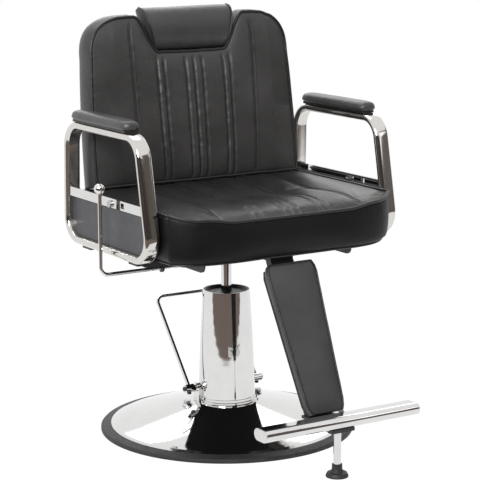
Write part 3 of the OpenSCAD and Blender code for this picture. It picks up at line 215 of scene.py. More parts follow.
def plywood(name):
    m = Shade(name)
    rings = m.noise(18, 6.0, 0.6, m.stretched((1, 14, 14)), 1.0)
    m.set(Base_Color=m.mix(rings, (0.012, 0.011, 0.010), (0.03, 0.026, 0.022)), Roughness=0.75,
          Normal=m.bump(rings, 0.0004, 0.4))
    return m.mat


LEATHER = leather("leather_seat", (0.0115, 0.0110, 0.0108), (0.0175, 0.0167, 0.0162), 0.36)
LEATHER_SIDE = leather("leather_side", (0.0125, 0.0125, 0.013), (0.019, 0.019, 0.0195), 0.42)
# Lighter copies of the same black leather for the back, the pillow and the pads: painted light where
# these cushions catch the lamps
LEATHER_BACK_PAINTED_LIGHT = leather("leather_back_painted_light", (0.033, 0.032, 0.031), (0.049, 0.047, 0.046), 0.38)
LEATHER_PAD_PAINTED_LIGHT = leather("leather_pad_painted_light", (0.038, 0.038, 0.038), (0.054, 0.054, 0.054), 0.37)
# A darker, less glossy copy of the same black leather for the seat's front and sides: painted shade
# where these faces turn away from the top lamp
LEATHER_BORDER_PAINTED_SHADE = leather("leather_border_painted_shade", (0.0035, 0.0034, 0.0033), (0.0055, 0.0053, 0.0052), 0.5, 0.22)
THREAD = rubber("thread_black", (0.010, 0.010, 0.010), 0.7)
PIPING = leather("leather_piping", (0.009, 0.009, 0.009), (0.014, 0.014, 0.014), 0.36)
CHROME = chrome("chrome_plate")
CHROME_WARM = chrome("chrome_tube", (0.70, 0.68, 0.655), 0.09)
BLACK = enamel("enamel_black", (0.017, 0.017, 0.018), 0.4)
PANEL = enamel("enamel_panel", (0.055, 0.056, 0.062), 0.42)
GREY = enamel("enamel_grey", (0.2, 0.2, 0.21), 0.45)
STEEL = steel("steel_plain")
CAP = steel("steel_cap", (0.78, 0.77, 0.76), 0.32, (1, 60, 1))
RUBBER = rubber("rubber_black")
PLASTIC = rubber("plastic_black", (0.014, 0.014, 0.014), 0.4)
BRONZE = steel("bronze", (0.45, 0.28, 0.12), 0.4)
WOOD = plywood("plywood_stained")

FINISH = {
    "black_leather": LEATHER, "chrome": CHROME, "black_steel": BLACK, "plain_steel": STEEL,
    "black_rubber": RUBBER, "board_wood": WOOD, "panel_paint": PANEL, "bronze": BRONZE,
    "knob_metal": CHROME, "cylinder_paint": GREY, "cap_plastic": PLASTIC, "board_plastic": PLASTIC,
    "cap_metal": CAP,
}
for part in frame["record"]["subparts"]:
    data = NODES[part["node"]].data
    data.materials.clear()
    data.materials.append(FINISH[part["material_slot"]])


# Mesh helpers
def make(name, verts, faces, material, body, replaces=()):
    """A mesh piece that rides on a body and stands for the given nodes."""
    mesh = bpy.data.meshes.new(name)
    mesh.from_pydata([tuple(v) for v in verts], [], [tuple(int(i) for i in f) for f in faces])
    mesh.validate()
    mesh.update()
    obj = bpy.data.objects.new(name, mesh)
    bpy.context.scene.collection.objects.link(obj)
    mesh.materials.append(material)
    mesh.polygons.foreach_set("use_smooth", [True] * len(mesh.polygons))
    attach(obj, body)
    if replaces:
        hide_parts(*replaces)
    return obj


def frames_along(path, closed):
    """The points of a path as an array, and two steady unit normals along it."""
    p = np.asarray(path, float)
    n = len(p)
    if closed:
        tan = np.roll(p, -1, 0) - np.roll(p, 1, 0)
    else:
        tan = np.gradient(p, axis=0)
    tan /= np.linalg.norm(tan, axis=1)[:, None]
    first = np.cross(tan[0], (0, 0, 1.0))
    if np.linalg.norm(first) < 1e-3:
        first = np.cross(tan[0], (0, 1.0, 0))
    side = [first / np.linalg.norm(first)]
    for i in range(1, n):
        v = side[-1] - tan[i] * np.dot(side[-1], tan[i])
        side.append(v / np.linalg.norm(v))
    side = np.array(side)
    return p, side, np.cross(tan, side)


def tube_mesh(path, radius, closed=False, sides=10):
    """Vertices and faces of a round tube along a path."""
    p, a, b = frames_along(path, closed)
    ang = np.arange(sides) * 2 * math.pi / sides
    cos, sin = np.cos(ang)[None, :, None], np.sin(ang)[None, :, None]
    ring = (a[:, None, :] * cos + b[:, None, :] * sin) * radius
    verts = (p[:, None, :] + ring).reshape(-1, 3)
    n = len(p)
    faces = []
    for i in range(n if closed else n - 1):
        j = (i + 1) % n
        for k in range(sides):
            m = (k + 1) % sides
            faces.append((i * sides + k, i * sides + m, j * sides + m, j * sides + k))
    if not closed:
        faces.append(tuple(range(sides))[::-1])
        faces.append(tuple((n - 1) * sides + k for k in range(sides)))
    return verts, faces


def join(parts):
    verts, faces, base = [], [], 0
    for v, f in parts:
        verts.extend(map(tuple, v))
        faces.extend(tuple(i + base for i in face) for face in f)
        base += len(v)
    return verts, faces


def refine(knots, step):
    """Positions that keep every knot and lie no farther apart than step."""
    out = [knots[0]]
    for a, b in zip(knots, knots[1:]):
        n = max(1, math.ceil((b - a) / step - 1e-9))
        out.extend(a + (b - a) * (i + 1) / n for i in range(n))
    return np.array(out)


def both_ways(half):
    half = np.asarray(half)
    return np.concatenate([-half[:0:-1], half])


def smooth_step(x):
    c = np.clip(x, 0, 1)
    return c * c * (3 - 2 * c)


def dip(x, line, reach):
    """A rounded valley: 1 on the line and 0 at reach."""
    return np.clip(1 - np.abs(x - line) / reach, 0, 1) ** 1.4


def wobble(points, scale, seed=0.0):
    """Smooth unevenness between -1 and 1 at each point."""
    return np.array([noise.noise(Vector(p) * scale + Vector((seed, 2.3 * seed, 0))) for p in points])


class Form:
    """A padded closed form. Its face is a grid of rows and columns, its sides are rings below the
    face's edge, and a grid with as many rows and columns closes it underneath."""

    def __init__(self, s, t, face, rings):
        self.s, self.t = np.asarray(s), np.asarray(t)
        self.nt, self.ns = face.shape[:2]
        nt, ns = self.nt, self.ns
        self.loop = np.array([i for i in range(ns - 1)] + [j * ns + ns - 1 for j in range(nt - 1)]
                             + [(nt - 1) * ns + i for i in range(ns - 1, 0, -1)]
                             + [j * ns for j in range(nt - 1, 0, -1)])
        self.n = len(self.loop)
        self.rings = len(rings)
        under = self.spanned(rings[-1])[1:-1, 1:-1]
        self.co = np.concatenate([face.reshape(-1, 3)] + list(rings) + [under.reshape(-1, 3)])
        faces = []
        for j in range(nt - 1):
            for i in range(ns - 1):
                a = j * ns + i
                faces.append((a, a + 1, a + ns + 1, a + ns))
        levels = [self.loop] + [nt * ns + k * self.n + np.arange(self.n) for k in range(self.rings)]
        for up, down in zip(levels, levels[1:]):
            nxt_up, nxt_down = np.roll(up, -1), np.roll(down, -1)
            faces.extend(zip(up, down, nxt_down, nxt_up))
        first = nt * ns + self.rings * self.n
        self.under = list(range(first, len(self.co)))
        index = np.zeros(nt * ns, int)
        index[self.loop] = levels[-1]
        index = index.reshape(nt, ns)
        index[1:-1, 1:-1] = np.array(self.under).reshape(nt - 2, ns - 2)
        faces.extend((index[j, i], index[j + 1, i], index[j + 1, i + 1], index[j, i + 1])
                     for j in range(nt - 1) for i in range(ns - 1))
        self.faces = faces
        self.levels = levels

    @staticmethod
    def edge_of(g):
        """The points round a grid's edge, in the order of its loop."""
        return np.concatenate([g[0, :-1], g[:-1, -1], g[-1, :0:-1], g[:0:-1, 0]])

    def spanned(self, ring):
        """A grid that spans the given outline evenly."""
        g = np.zeros((self.nt * self.ns, 3))
        g[self.loop] = ring
        g = g.reshape(self.nt, self.ns, 3)
        u = np.linspace(0, 1, self.ns)[None, :, None]
        v = np.linspace(0, 1, self.nt)[:, None, None]
        corners = ((1 - u) * (1 - v) * g[0, 0] + u * (1 - v) * g[0, -1]
                   + (1 - u) * v * g[-1, 0] + u * v * g[-1, -1])
        return ((1 - v) * g[:1] + v * g[-1:] + (1 - u) * g[:, :1] + u * g[:, -1:]) - corners

    def grid(self):
        return self.co[: self.nt * self.ns].reshape(self.nt, self.ns, 3)

    def at(self, s, t):
        """Points and outward normals on the face at the given grid positions."""
        g = self.grid()
        s, t = np.atleast_1d(s), np.atleast_1d(t)
        i = np.clip(np.searchsorted(self.s, s) - 1, 0, self.ns - 2)
        j = np.clip(np.searchsorted(self.t, t) - 1, 0, self.nt - 2)
        u = ((s - self.s[i]) / (self.s[i + 1] - self.s[i]))[:, None]
        v = ((t - self.t[j]) / (self.t[j + 1] - self.t[j]))[:, None]
        p = (g[j, i] * (1 - u) * (1 - v) + g[j, i + 1] * u * (1 - v)
             + g[j + 1, i] * (1 - u) * v + g[j + 1, i + 1] * u * v)
        nrm = np.cross(g[j, i + 1] - g[j, i], g[j + 1, i] - g[j, i])
        return p, nrm / np.linalg.norm(nrm, axis=1)[:, None]

    def normals(self):
        """Outward normal of every vertex."""
        f = np.array(self.faces)
        c = self.co
        n = np.cross(c[f[:, 2]] - c[f[:, 0]], c[f[:, 3]] - c[f[:, 1]])
        out = np.zeros_like(c)
        for k in range(4):
            np.add.at(out, f[:, k], n)
        return out / np.maximum(np.linalg.norm(out, axis=1), 1e-12)[:, None]


CLOTH_FRAMES, CLOTH_MASS, CLOTH_STIFFNESS, CLOTH_BENDING = 20, 0.3, 12.0, 0.6


def puff(obj, form, sewn, pressure, cap):
    """The cover billows between its sewn lines: a cloth pressure simulation, applied and capped."""
    group = obj.vertex_groups.new(name="sewn")
    group.add([int(i) for i in sewn], 1.0, "REPLACE")
    mod = obj.modifiers.new("billow", "CLOTH")
    st = mod.settings
    st.quality = 5
    st.mass = CLOTH_MASS
    st.tension_stiffness = st.compression_stiffness = CLOTH_STIFFNESS
    st.shear_stiffness = CLOTH_STIFFNESS / 2
    st.bending_stiffness = CLOTH_BENDING
    st.use_pressure = True
    st.uniform_pressure_force = pressure
    st.vertex_group_mass = "sewn"
    st.effector_weights.gravity = 0
    mod.collision_settings.use_collision = False
    mod.collision_settings.use_self_collision = False
    mod.point_cache.frame_start, mod.point_cache.frame_end = 1, CLOTH_FRAMES
    scene = bpy.context.scene
    for f in range(1, CLOTH_FRAMES + 1):
        scene.frame_set(f)
    ev = obj.evaluated_get(bpy.context.evaluated_depsgraph_get())
    co = np.zeros(len(ev.data.vertices) * 3, np.float32)
    ev.data.vertices.foreach_get("co", co)
    obj.modifiers.remove(mod)
    obj.vertex_groups.remove(group)
    scene.frame_set(1)
    move = co.reshape(-1, 3).astype(float) - form.co
    far = np.linalg.norm(move, axis=1)
    move *= np.minimum(1, cap / np.maximum(far, 1e-9))[:, None]
    form.co = form.co + move
    print(obj.name, "billows by up to", round(float(far.max()) * 1000, 1), "mm")


def settle(obj, form, finer=0):
    """Writes the form's vertices back to the mesh and smooths it by subdivision."""
    obj.data.vertices.foreach_set("co", form.co.astype(np.float32).ravel())
    obj.data.update()
    if finer:
        sub = obj.modifiers.new("finer", "SUBSURF")
        sub.levels = sub.render_levels = finer


def stitches(name, runs, body, pitch=5.6 * MM, length=3.9 * MM, radius=0.55 * MM, lift=0.25 * MM):
    """Thread along sewn lines. Each run is (points, normals)."""
    parts = []
    for p, nrm in runs:
        seg = np.linalg.norm(np.diff(p, axis=0), axis=1)
        dist = np.concatenate([[0], np.cumsum(seg)])
        for d in np.arange(pitch / 2, dist[-1] - length, pitch):
            ends = []
            for q in (d, d + length / 2, d + length):
                ends.append([np.interp(q, dist, p[:, k]) for k in range(3)])
            up = np.array([np.interp(d, dist, nrm[:, k]) for k in range(3)])
            ends = np.array(ends) + up * lift
            ends[1] += up * radius * 0.7
            ends[[0, 2]] -= up * radius * 0.7
            parts.append(tube_mesh(ends, radius, False, 5))
    v, f = join(parts)
    make(name, v, f, THREAD, body)


def seam_cords(name, form, lines, first, last, body):
    """A thin dark cord at the bottom of each sewn valley."""
    t = np.linspace(first, last, 90)
    parts = []
    for line in lines:
        p, nrm = form.at(np.full_like(t, line), t)
        parts.append(tube_mesh(p + nrm * 0.15 * MM, 1.0 * MM, False, 6))
    v, f = join(parts)
    make(name, v, f, THREAD, body)


def piping(name, path, radius, body, closed=True):
    v, f = tube_mesh(path, radius, closed, 10)
    make(name, v, f, PIPING, body)


def scaled_loop(loop, middle, half, out):
    """The face's edge moved out by a distance, as shares of its half sizes."""
    q = loop.copy()
    q[:, 0] = middle[0] + (loop[:, 0] - middle[0]) * (1 + out / half[0])
    q[:, 1] = middle[1] + (loop[:, 1] - middle[1]) * (1 + out / half[1])
    return q


def at_height(loop, h):
    q = loop.copy()
    q[:, 2] = h
    return q


def on_face(y, z, lean):
    """A map from (across, up the face, out of it) in mm to the row frame in metres."""
    a = math.radians(lean)

    def place(p):
        p = np.asarray(p, float)
        return np.stack([p[:, 0], y + p[:, 1] * math.sin(a) - p[:, 2] * math.cos(a),
                         z + p[:, 1] * math.cos(a) + p[:, 2] * math.sin(a)], 1) * MM
    return place


def flat_at(z):
    def place(p):
        p = np.asarray(p, float)
        return (p + np.array([0, 0, z])) * MM
    return place


def sewn_points(form, lines, first_ring):
    """Vertices the cloth keeps in place: the face's edge, its sewn lines, and all below a ring."""
    grid = np.arange(form.nt * form.ns).reshape(form.nt, form.ns)
    sewn = set(form.loop.tolist()) | set(form.under)
    for line in lines:
        sewn.update(grid[:, int(np.argmin(np.abs(form.s - line)))].tolist())
    for level in form.levels[first_ring:]:
        sewn.update(level.tolist())
    return sewn


def nearness(form, lines, half_w, reach, end_rows):
    """How near the face's vertices lie to a sewn line or to the sewn end, from 0 to 1."""
    across, along = np.meshgrid(form.s, end_rows)
    near = np.zeros(len(form.co))
    close = [np.exp(-(((across - line) * half_w / reach) ** 2)) for line in lines]
    near[: across.size] = np.max(close + [np.exp(-((along / END_REACH) ** 2))], axis=0).ravel()
    return near


def seam_runs(form, seam, first, last):
    """A row of stitches on each side of the two outer seams."""
    t = np.linspace(first, last, 120)
    return [form.at(np.full_like(t, side * (seam + shift)), t)
            for side in (-1, 1) for shift in (-THREAD_SHIFT, THREAD_SHIFT)]


def crumple(form, lines_near, amount, wave, seed):
    """Small puckers beside the sewn lines and a slow unevenness all over, along the normals."""
    n = form.normals()
    slow = wobble(form.co, 1 / SLOW_WAVE, seed) * SLOW_RISE
    puckers = wobble(form.co, 1 / wave, seed + 5)
    form.co = form.co + n * (slow + puckers * amount * lines_near)[:, None]


# Sizes in mm and degrees; the cushions' outlines are the model's
SEAT_Z, SEAT_HALF_W, SEAT_REAR_Y, SEAT_CORNER_Y, SEAT_FRONT_Y = 463, 290, 160, 238, 290
SEAT_SIDE_H, SEAT_FRONT_H, SEAT_REAR_H, BOARD_T = 111, 89, 105, 12
SEAT_BOW_POWER = 7
BACK_LEAN, BACK_Y, BACK_Z, BACK_HALF_W, BACK_T = 7, 118, 588, 276, 50
SHOULDER_H, NOTCH_H, NOTCH_HALF_W, NOTCH_SLOPE_W = 382, 296, 88, 62
CORNER_W, CORNER_H, CORNER_POWER, SIDE_TAPER, BACK_FOOT = 106, 97, 2.6, 10, -6
SEAM_DIP, GROOVE_DIP, GROOVE_HALF_W = 4, 6, 5
SEAT_ROLL, BOARD_INSET, BACK_BULGE, BACK_CROWN = 9, 22, 8, 14
REAR_T, REAR_ROLL, REAR_CROWN = 13, 1.5, 4
PILLOW_TOP_W, PILLOW_FOOT_W, PILLOW_H, PILLOW_T = 120, 90, 106, 57
PILLOW_CROWN, PILLOW_GAP, PILLOW_BOARD_T, MOVING_CLEAR = 16, 2, 8, 1
ARM_X, PAD_Z, PAD_HALF_W, PAD_LEN, PAD_H, PAD_Y = 316, 746, 24, 262, 22, -1
CALF_LEAN, CALF_LEN, CALF_T, CALF_FOOT_W, CALF_TOP_W = 26, 340, 20, 46, 64
CALF_TOP_Y, CALF_TOP_Z = 271, 442
TUBE_CORNERS = ((-220, 466), (169, 466), (160, 732), (-168, 732))
TUBE_BEND, TUBE_FLAT, TUBE_R = 52.0, 10, 9
# Rings down the sides of the cushions, and how far each row of stitches lies from its seam
SEAT_RINGS, BACK_RINGS, THREAD_SHIFT = 12, 8, 0.022
# How long each cushion is along its channels, and how far its end's puckers reach
SEAT_RUN, BACK_RUN, END_REACH = 470, 400, 30
# The leather's slow unevenness, in metres
SLOW_WAVE, SLOW_RISE = 0.07, 0.9 * MM


# Seat cushion
PANEL_SHARES = ((0, 0.05, 0.14, 0.22, 0.34, 0.45, 0.55, 0.7, 0.85, 0.94, 1),
                (SEAT_FRONT_H / SEAT_SIDE_H, 0.93, 1.0, 1.01, 0.97, 0.93, 0.95, 1.01, 1.04, 1.0,
                 SEAT_REAR_H / SEAT_SIDE_H))
BOLSTER_SHARES = ((0, 0.05, 0.14, 0.3, 0.6, 0.88, 0.96, 1),
                  (0.88, 0.94, 1.0, 1.04, 1.05, 1.03, 0.99, SEAT_REAR_H / SEAT_SIDE_H))
SEAM_LINE = ((0, 0.15, 0.45, 0.75, 1), (0.64, 0.62, 0.57, 0.64, 0.7))
SEAT_SEAM, SEAT_GROOVES = 0.64, (0, 0.065, 0.27, 0.35)


def seat_face(s, t):
    """The seat's face at shares across and along it, in mm."""
    a = np.abs(s)
    front = -SEAT_FRONT_Y + (SEAT_FRONT_Y - SEAT_CORNER_Y) * a ** SEAT_BOW_POWER
    y = front + (SEAT_REAR_Y - front) * t
    seam = np.interp(t, *SEAM_LINE)
    x = np.sign(s) * SEAT_HALF_W * np.where(
        a <= SEAT_SEAM, a * seam / SEAT_SEAM, seam + (a - SEAT_SEAM) * (1 - seam) / (1 - SEAT_SEAM))
    panel = SEAT_SIDE_H * np.interp(t, *PANEL_SHARES)
    bolster = SEAT_SIDE_H * np.interp(t, *BOLSTER_SHARES)
    blend = smooth_step((a - 0.5) / 0.28)
    opened = smooth_step(t / 0.06) * smooth_step((1 - t) / 0.05)
    fall = np.maximum(0, (a - 0.8) / 0.2) ** 2 * (bolster - SEAT_SIDE_H + SEAM_DIP / 2)
    reach = 1.25 * GROOVE_HALF_W / SEAT_HALF_W
    dips = SEAM_DIP * dip(a, SEAT_SEAM, reach) + GROOVE_DIP * np.max(
        [dip(a, g, reach) for g in SEAT_GROOVES], axis=0)
    return np.stack([x, y, panel + (bolster - panel) * blend - fall - dips * opened], -1)


def build_seat():
    s = refine(both_ways([*SEAT_GROOVES, SEAT_SEAM, 1]), 0.0135)
    t = refine(np.array([0, 0.05, 0.14, 0.45, 1.0]), 0.0135)
    face = seat_face(*np.meshgrid(s, t))
    loop = Form.edge_of(face)
    middle, half = (0, (SEAT_REAR_Y - SEAT_FRONT_Y) / 2), (SEAT_HALF_W, (SEAT_REAR_Y + SEAT_FRONT_Y) / 2)
    rings = []
    for k in range(1, SEAT_RINGS + 1):
        share = k / SEAT_RINGS
        turned_in = SEAT_ROLL * smooth_step((share - 0.86) / 0.14) ** 2
        out = 3.5 * math.sin(math.pi * share) ** 0.8 - turned_in
        ring = scaled_loop(loop, middle, half, out)
        ring[:, 2] = loop[:, 2] * (1 - share)
        rings.append(ring)
    for out in (-12, -15, -18, -BOARD_INSET):
        rings.append(at_height(scaled_loop(loop, middle, half, out), 0))
    for h in (BOARD_T / 2, BOARD_T):
        rings.append(at_height(scaled_loop(loop, middle, half, -BOARD_INSET), h))
    form = Form(s, t, face, rings)
    form.co = flat_at(SEAT_Z)(form.co)
    seat = make("seat_cushion_cover", form.co, form.faces, LEATHER, "seat",
                ("seat_cushion",))
    seat.data.materials.append(LEATHER_BORDER_PAINTED_SHADE)
    # The seat's front and sides take the darker leather copy, painted shade
    top_faces = (form.nt - 1) * (form.ns - 1)
    for face in seat.data.polygons[top_faces:]:
        face.material_index = 1
    lines = [g * k for g in SEAT_GROOVES + (SEAT_SEAM,) for k in (-1, 1)]
    puff(seat, form, sewn_points(form, lines, SEAT_RINGS), 4.0, 0.024)
    crumple(form, nearness(form, lines, SEAT_HALF_W, 16, form.t * SEAT_RUN), 0.7 * MM, 0.018, 3.0)
    settle(seat, form)
    edge = form.co[form.loop]
    up = form.normals()[form.loop]
    piping("seat_piping", edge + up * 1.2 * MM, 3.6 * MM, "seat")
    foot = form.levels[SEAT_RINGS]
    piping("seat_foot_piping", form.co[foot] + form.normals()[foot] * 0.5 * MM, 2.2 * MM, "seat")
    stitches("seat_seam_thread", seam_runs(form, SEAT_SEAM, 0.03, 0.97), "seat")
    seam_cords("seat_seam_cords", form, lines, 0.03, 0.97, "seat")


# Back cushion
BACK_SEAM, BACK_GROOVES = 0.57, (0, 0.077, 0.28, 0.343)
CORNER_FOOT = SHOULDER_H - CORNER_H
CORNER_IN = BACK_HALF_W - SIDE_TAPER - CORNER_W
BACK_MIDDLE, BACK_HALF = (0, 0.15 * SHOULDER_H), (BACK_HALF_W, 0.85 * SHOULDER_H)


def shoulder(d):
    return np.maximum(0, 1 - np.maximum(0, d) ** CORNER_POWER) ** (1 / CORNER_POWER)


def back_top(u):
    a = np.abs(u)
    notch = NOTCH_H + (SHOULDER_H - NOTCH_H) * smooth_step((a - NOTCH_HALF_W) / NOTCH_SLOPE_W)
    return np.where(a < CORNER_IN, notch, CORNER_FOOT + CORNER_H * shoulder((a - CORNER_IN) / CORNER_W))


def back_side(v):
    v = np.asarray(v, float)
    return np.where(v < CORNER_FOOT, BACK_HALF_W - SIDE_TAPER * (np.maximum(0, v) / CORNER_FOOT) ** 2,
                    CORNER_IN + CORNER_W * shoulder((v - CORNER_FOOT) / CORNER_H))


CORNER_V = CORNER_FOOT + 0.72 * CORNER_H
CORNER_U = float(back_side(CORNER_V))


def back_uv(s, t):
    a = np.abs(s)
    tu = np.sign(s) * np.where(a < 0.6, a * BACK_HALF_W,
                               0.6 * BACK_HALF_W + (a - 0.6) / 0.4 * (CORNER_U - 0.6 * BACK_HALF_W))
    v = BACK_FOOT + (CORNER_V - BACK_FOOT) * t
    fu = s * BACK_HALF_W
    return ((1 - t) * fu + t * tu + s * (back_side(v) - ((1 - t) * BACK_HALF_W + t * CORNER_U)),
            (1 - t) * BACK_FOOT + t * back_top(tu) + (v - ((1 - t) * BACK_FOOT + t * CORNER_V)))


def back_face(s, t):
    a = np.abs(s)
    u, v = back_uv(s, t)
    across = np.maximum(0, 1 - a ** 3) ** 0.6
    along = np.maximum(0, 1 - np.abs(2 * t - 1) ** 5) ** 0.6
    bolster = BACK_CROWN * 0.4 * dip(a, 0.76, 0.2) * along
    reach = 1.25 * GROOVE_HALF_W / BACK_HALF_W
    dips = SEAM_DIP * dip(a, BACK_SEAM, reach) + GROOVE_DIP * np.max(
        [dip(a, g, reach) for g in BACK_GROOVES], axis=0)
    return np.stack([u, v, BACK_CROWN * across * along + bolster
                     - dips * smooth_step((1 - t) / 0.08) * smooth_step(t / 0.03)], -1)


def build_back():
    s = refine(both_ways([*BACK_GROOVES, BACK_SEAM, 1]), 0.0145)
    t = refine(np.array([0, 0.5, 0.93, 1.0]), 0.015)
    face = back_face(*np.meshgrid(s, t))
    loop = Form.edge_of(face)
    outside = smooth_step((np.abs(loop[:, 0]) - NOTCH_HALF_W) / NOTCH_SLOPE_W)
    bulges = np.where(loop[:, 1] < NOTCH_H / 2, 1, outside)
    rings = []
    for k in range(1, BACK_RINGS + 1):
        share = k / BACK_RINGS
        out = BACK_BULGE * math.sin(math.pi * 0.75 * share) ** 0.8 * bulges
        rings.append(at_height(scaled_loop(loop, BACK_MIDDLE, BACK_HALF, out), -BACK_T * share))
    for out in (0, -BOARD_INSET / 2, -BOARD_INSET):
        rings.append(at_height(scaled_loop(loop, BACK_MIDDLE, BACK_HALF, out), -BACK_T))
    for h in (BOARD_T / 2 - BACK_T, BOARD_T - BACK_T):
        rings.append(at_height(scaled_loop(loop, BACK_MIDDLE, BACK_HALF, -BOARD_INSET), h))
    form = Form(s, t, face, rings)
    form.co = on_face(BACK_Y, BACK_Z, BACK_LEAN)(form.co)
    back = make("back_cushion_cover", form.co, form.faces, LEATHER_BACK_PAINTED_LIGHT, "back",
                ("back_cushion",))
    lines = [g * k for g in BACK_GROOVES + (BACK_SEAM,) for k in (-1, 1)]
    puff(back, form, sewn_points(form, lines, BACK_RINGS), 4.0, 0.022)
    near = nearness(form, lines, BACK_HALF_W, 15, (1 - form.t) * BACK_RUN)
    crumple(form, near, 1.1 * MM, 0.016, 11.0)
    settle(back, form)
    edge, up = form.co[form.loop], form.normals()[form.loop]
    piping("back_piping", edge + up * 1.2 * MM, 3.6 * MM, "back")
    stitches("back_seam_thread", seam_runs(form, BACK_SEAM, 0.03, 0.95), "back")
    seam_cords("back_seam_cords", form, lines, 0.03, 0.93, "back")


def build_rear_cover():
    s = refine(both_ways([0, 0.5, 1]), 0.04)
    t = refine(np.array([0, 1.0]), 0.035)
    gs, gt = np.meshgrid(s, t)
    u, v = back_uv(gs, gt)
    across, along = np.maximum(0, 1 - np.abs(gs) ** 4), np.maximum(0, 1 - np.abs(2 * gt - 1) ** 8)
    rise = REAR_T - REAR_ROLL + (REAR_ROLL + REAR_CROWN) * across ** 0.5 * along ** 0.5
    face = np.stack([u, v, rise], -1)
    loop = Form.edge_of(face)
    rings = [at_height(scaled_loop(loop, BACK_MIDDLE, BACK_HALF, out), h)
             for out, h in ((1.4, 8.6), (2, 5.2), (1.2, 2), (0, 0))]
    form = Form(s, t, face, rings)
    co = form.co.copy()
    co[:, 2] = -BACK_T - co[:, 2]
    form.co = on_face(BACK_Y, BACK_Z, BACK_LEAN)(co)
    form.faces = [tuple(reversed(f)) for f in form.faces]
    cover = make("back_rear_cover", form.co, form.faces, LEATHER_SIDE, "back",
                 ("back_cover",))
    puff(cover, form, sewn_points(form, (), 1), 0.8, 0.006)
    crumple(form, np.ones(len(form.co)), 0.25 * MM, 0.03, 7.0)
    settle(cover, form, 1)
    edge = form.co[form.levels[3]]
    piping("back_rear_piping", edge, 2.6 * MM, "back")


# Head pillow
def build_pillow():
    rear, foot_v = -BACK_T - MOVING_CLEAR + PILLOW_BOARD_T, NOTCH_H + PILLOW_GAP
    top_w, foot_w, high, thick = PILLOW_TOP_W, PILLOW_FOOT_W, PILLOW_H, PILLOW_T
    s = refine(both_ways([0, 1]), 0.045)
    t = refine(np.array([0, 1.0]), 0.045)
    gs, gt = np.meshgrid(s, t)
    rnd = np.maximum(0, 1 - np.abs(2 * gt - 1) ** 2.2) ** 0.5
    end = 1 - 0.10 * np.abs(gs) ** 8
    side_h = (thick - PILLOW_CROWN) * (0.45 + 0.55 * rnd * end)
    face = np.stack([gs * (foot_w + (top_w - foot_w) * gt ** 0.6), foot_v + high * gt,
                     rear + side_h + PILLOW_CROWN * rnd * end], -1)
    loop = Form.edge_of(face)
    middle, half = (0, foot_v + high / 2), (top_w, high / 2)
    rings = []
    for k in range(1, 7):
        share = k / 6
        ring = scaled_loop(loop, middle, half, -8 * share ** 2.4)
        ring[:, 0] = loop[:, 0] * (1 + 3 * math.sin(math.pi * share) / top_w)
        ring[:, 2] = rear + (loop[:, 2] - rear) * (1 - share)
        rings.append(ring)
    form = Form(s, t, face, rings)
    form.co = on_face(BACK_Y, BACK_Z, BACK_LEAN)(form.co)
    pillow = make("headrest_pillow_cover", form.co, form.faces, LEATHER_PAD_PAINTED_LIGHT, "headrest",
                  ("headrest_pillow",))
    sewn = set(form.levels[-1].tolist()) | set(form.under)
    grid = np.arange(form.nt * form.ns).reshape(form.nt, form.ns)
    sewn.update(grid[:, 0].tolist() + grid[:, -1].tolist())
    puff(pillow, form, sewn, 3.0, 0.012)
    crumple(form, np.full(len(form.co), 0.6), 0.9 * MM, 0.022, 19.0)
    settle(pillow, form, 1)
    for name, col in (("pillow_piping_left", 0), ("pillow_piping_right", -1)):
        piping(name, form.co[grid[:, col]], 2.4 * MM, "headrest", closed=False)


# Arm pads
def build_arm_pads():
    for side, sign in SIDES.items():
        s = refine(both_ways([0, 1]), 0.14)
        t = refine(np.array([0, 0.02, 0.06, 0.5, 0.94, 0.98, 1.0]), 0.025)
        gs, gt = np.meshgrid(s, t)
        end = 0.35 + 0.65 * (1 - np.abs(2 * gt - 1) ** 10) ** 0.4
        crown = np.sqrt(np.maximum(0, 1 - np.abs(gs) ** 2.6)) * end
        face = np.stack([gs * PAD_HALF_W * end, PAD_LEN * (gt - 0.5), PAD_H * (0.45 + 0.55 * crown)], -1)
        loop = Form.edge_of(face)
        rings = []
        for k in range(1, 5):
            share = k / 4
            out = 1.2 * math.sin(math.pi * share) - 4 * share ** 2
            ring = scaled_loop(loop, (0, 0), (PAD_HALF_W, PAD_LEN / 2), out)
            ring[:, 2] = loop[:, 2] * (1 - share)
            rings.append(ring)
        form = Form(s, t, face, rings)
        form.co[:, 0] = form.co[:, 0] + sign * ARM_X
        form.co[:, 1] += PAD_Y
        form.co = flat_at(PAD_Z)(form.co)
        pad = make("arm_pad_cover_" + side, form.co, form.faces, LEATHER_PAD_PAINTED_LIGHT, "seat",
                   ("arm_pad_" + side,))
        sewn = set(form.levels[-1].tolist()) | set(form.under)
        puff(pad, form, sewn, 1.6, 0.004)
        crumple(form, np.full(len(form.co), 0.4), 0.5 * MM, 0.02, 23.0 + sign)
        settle(pad, form, 1)


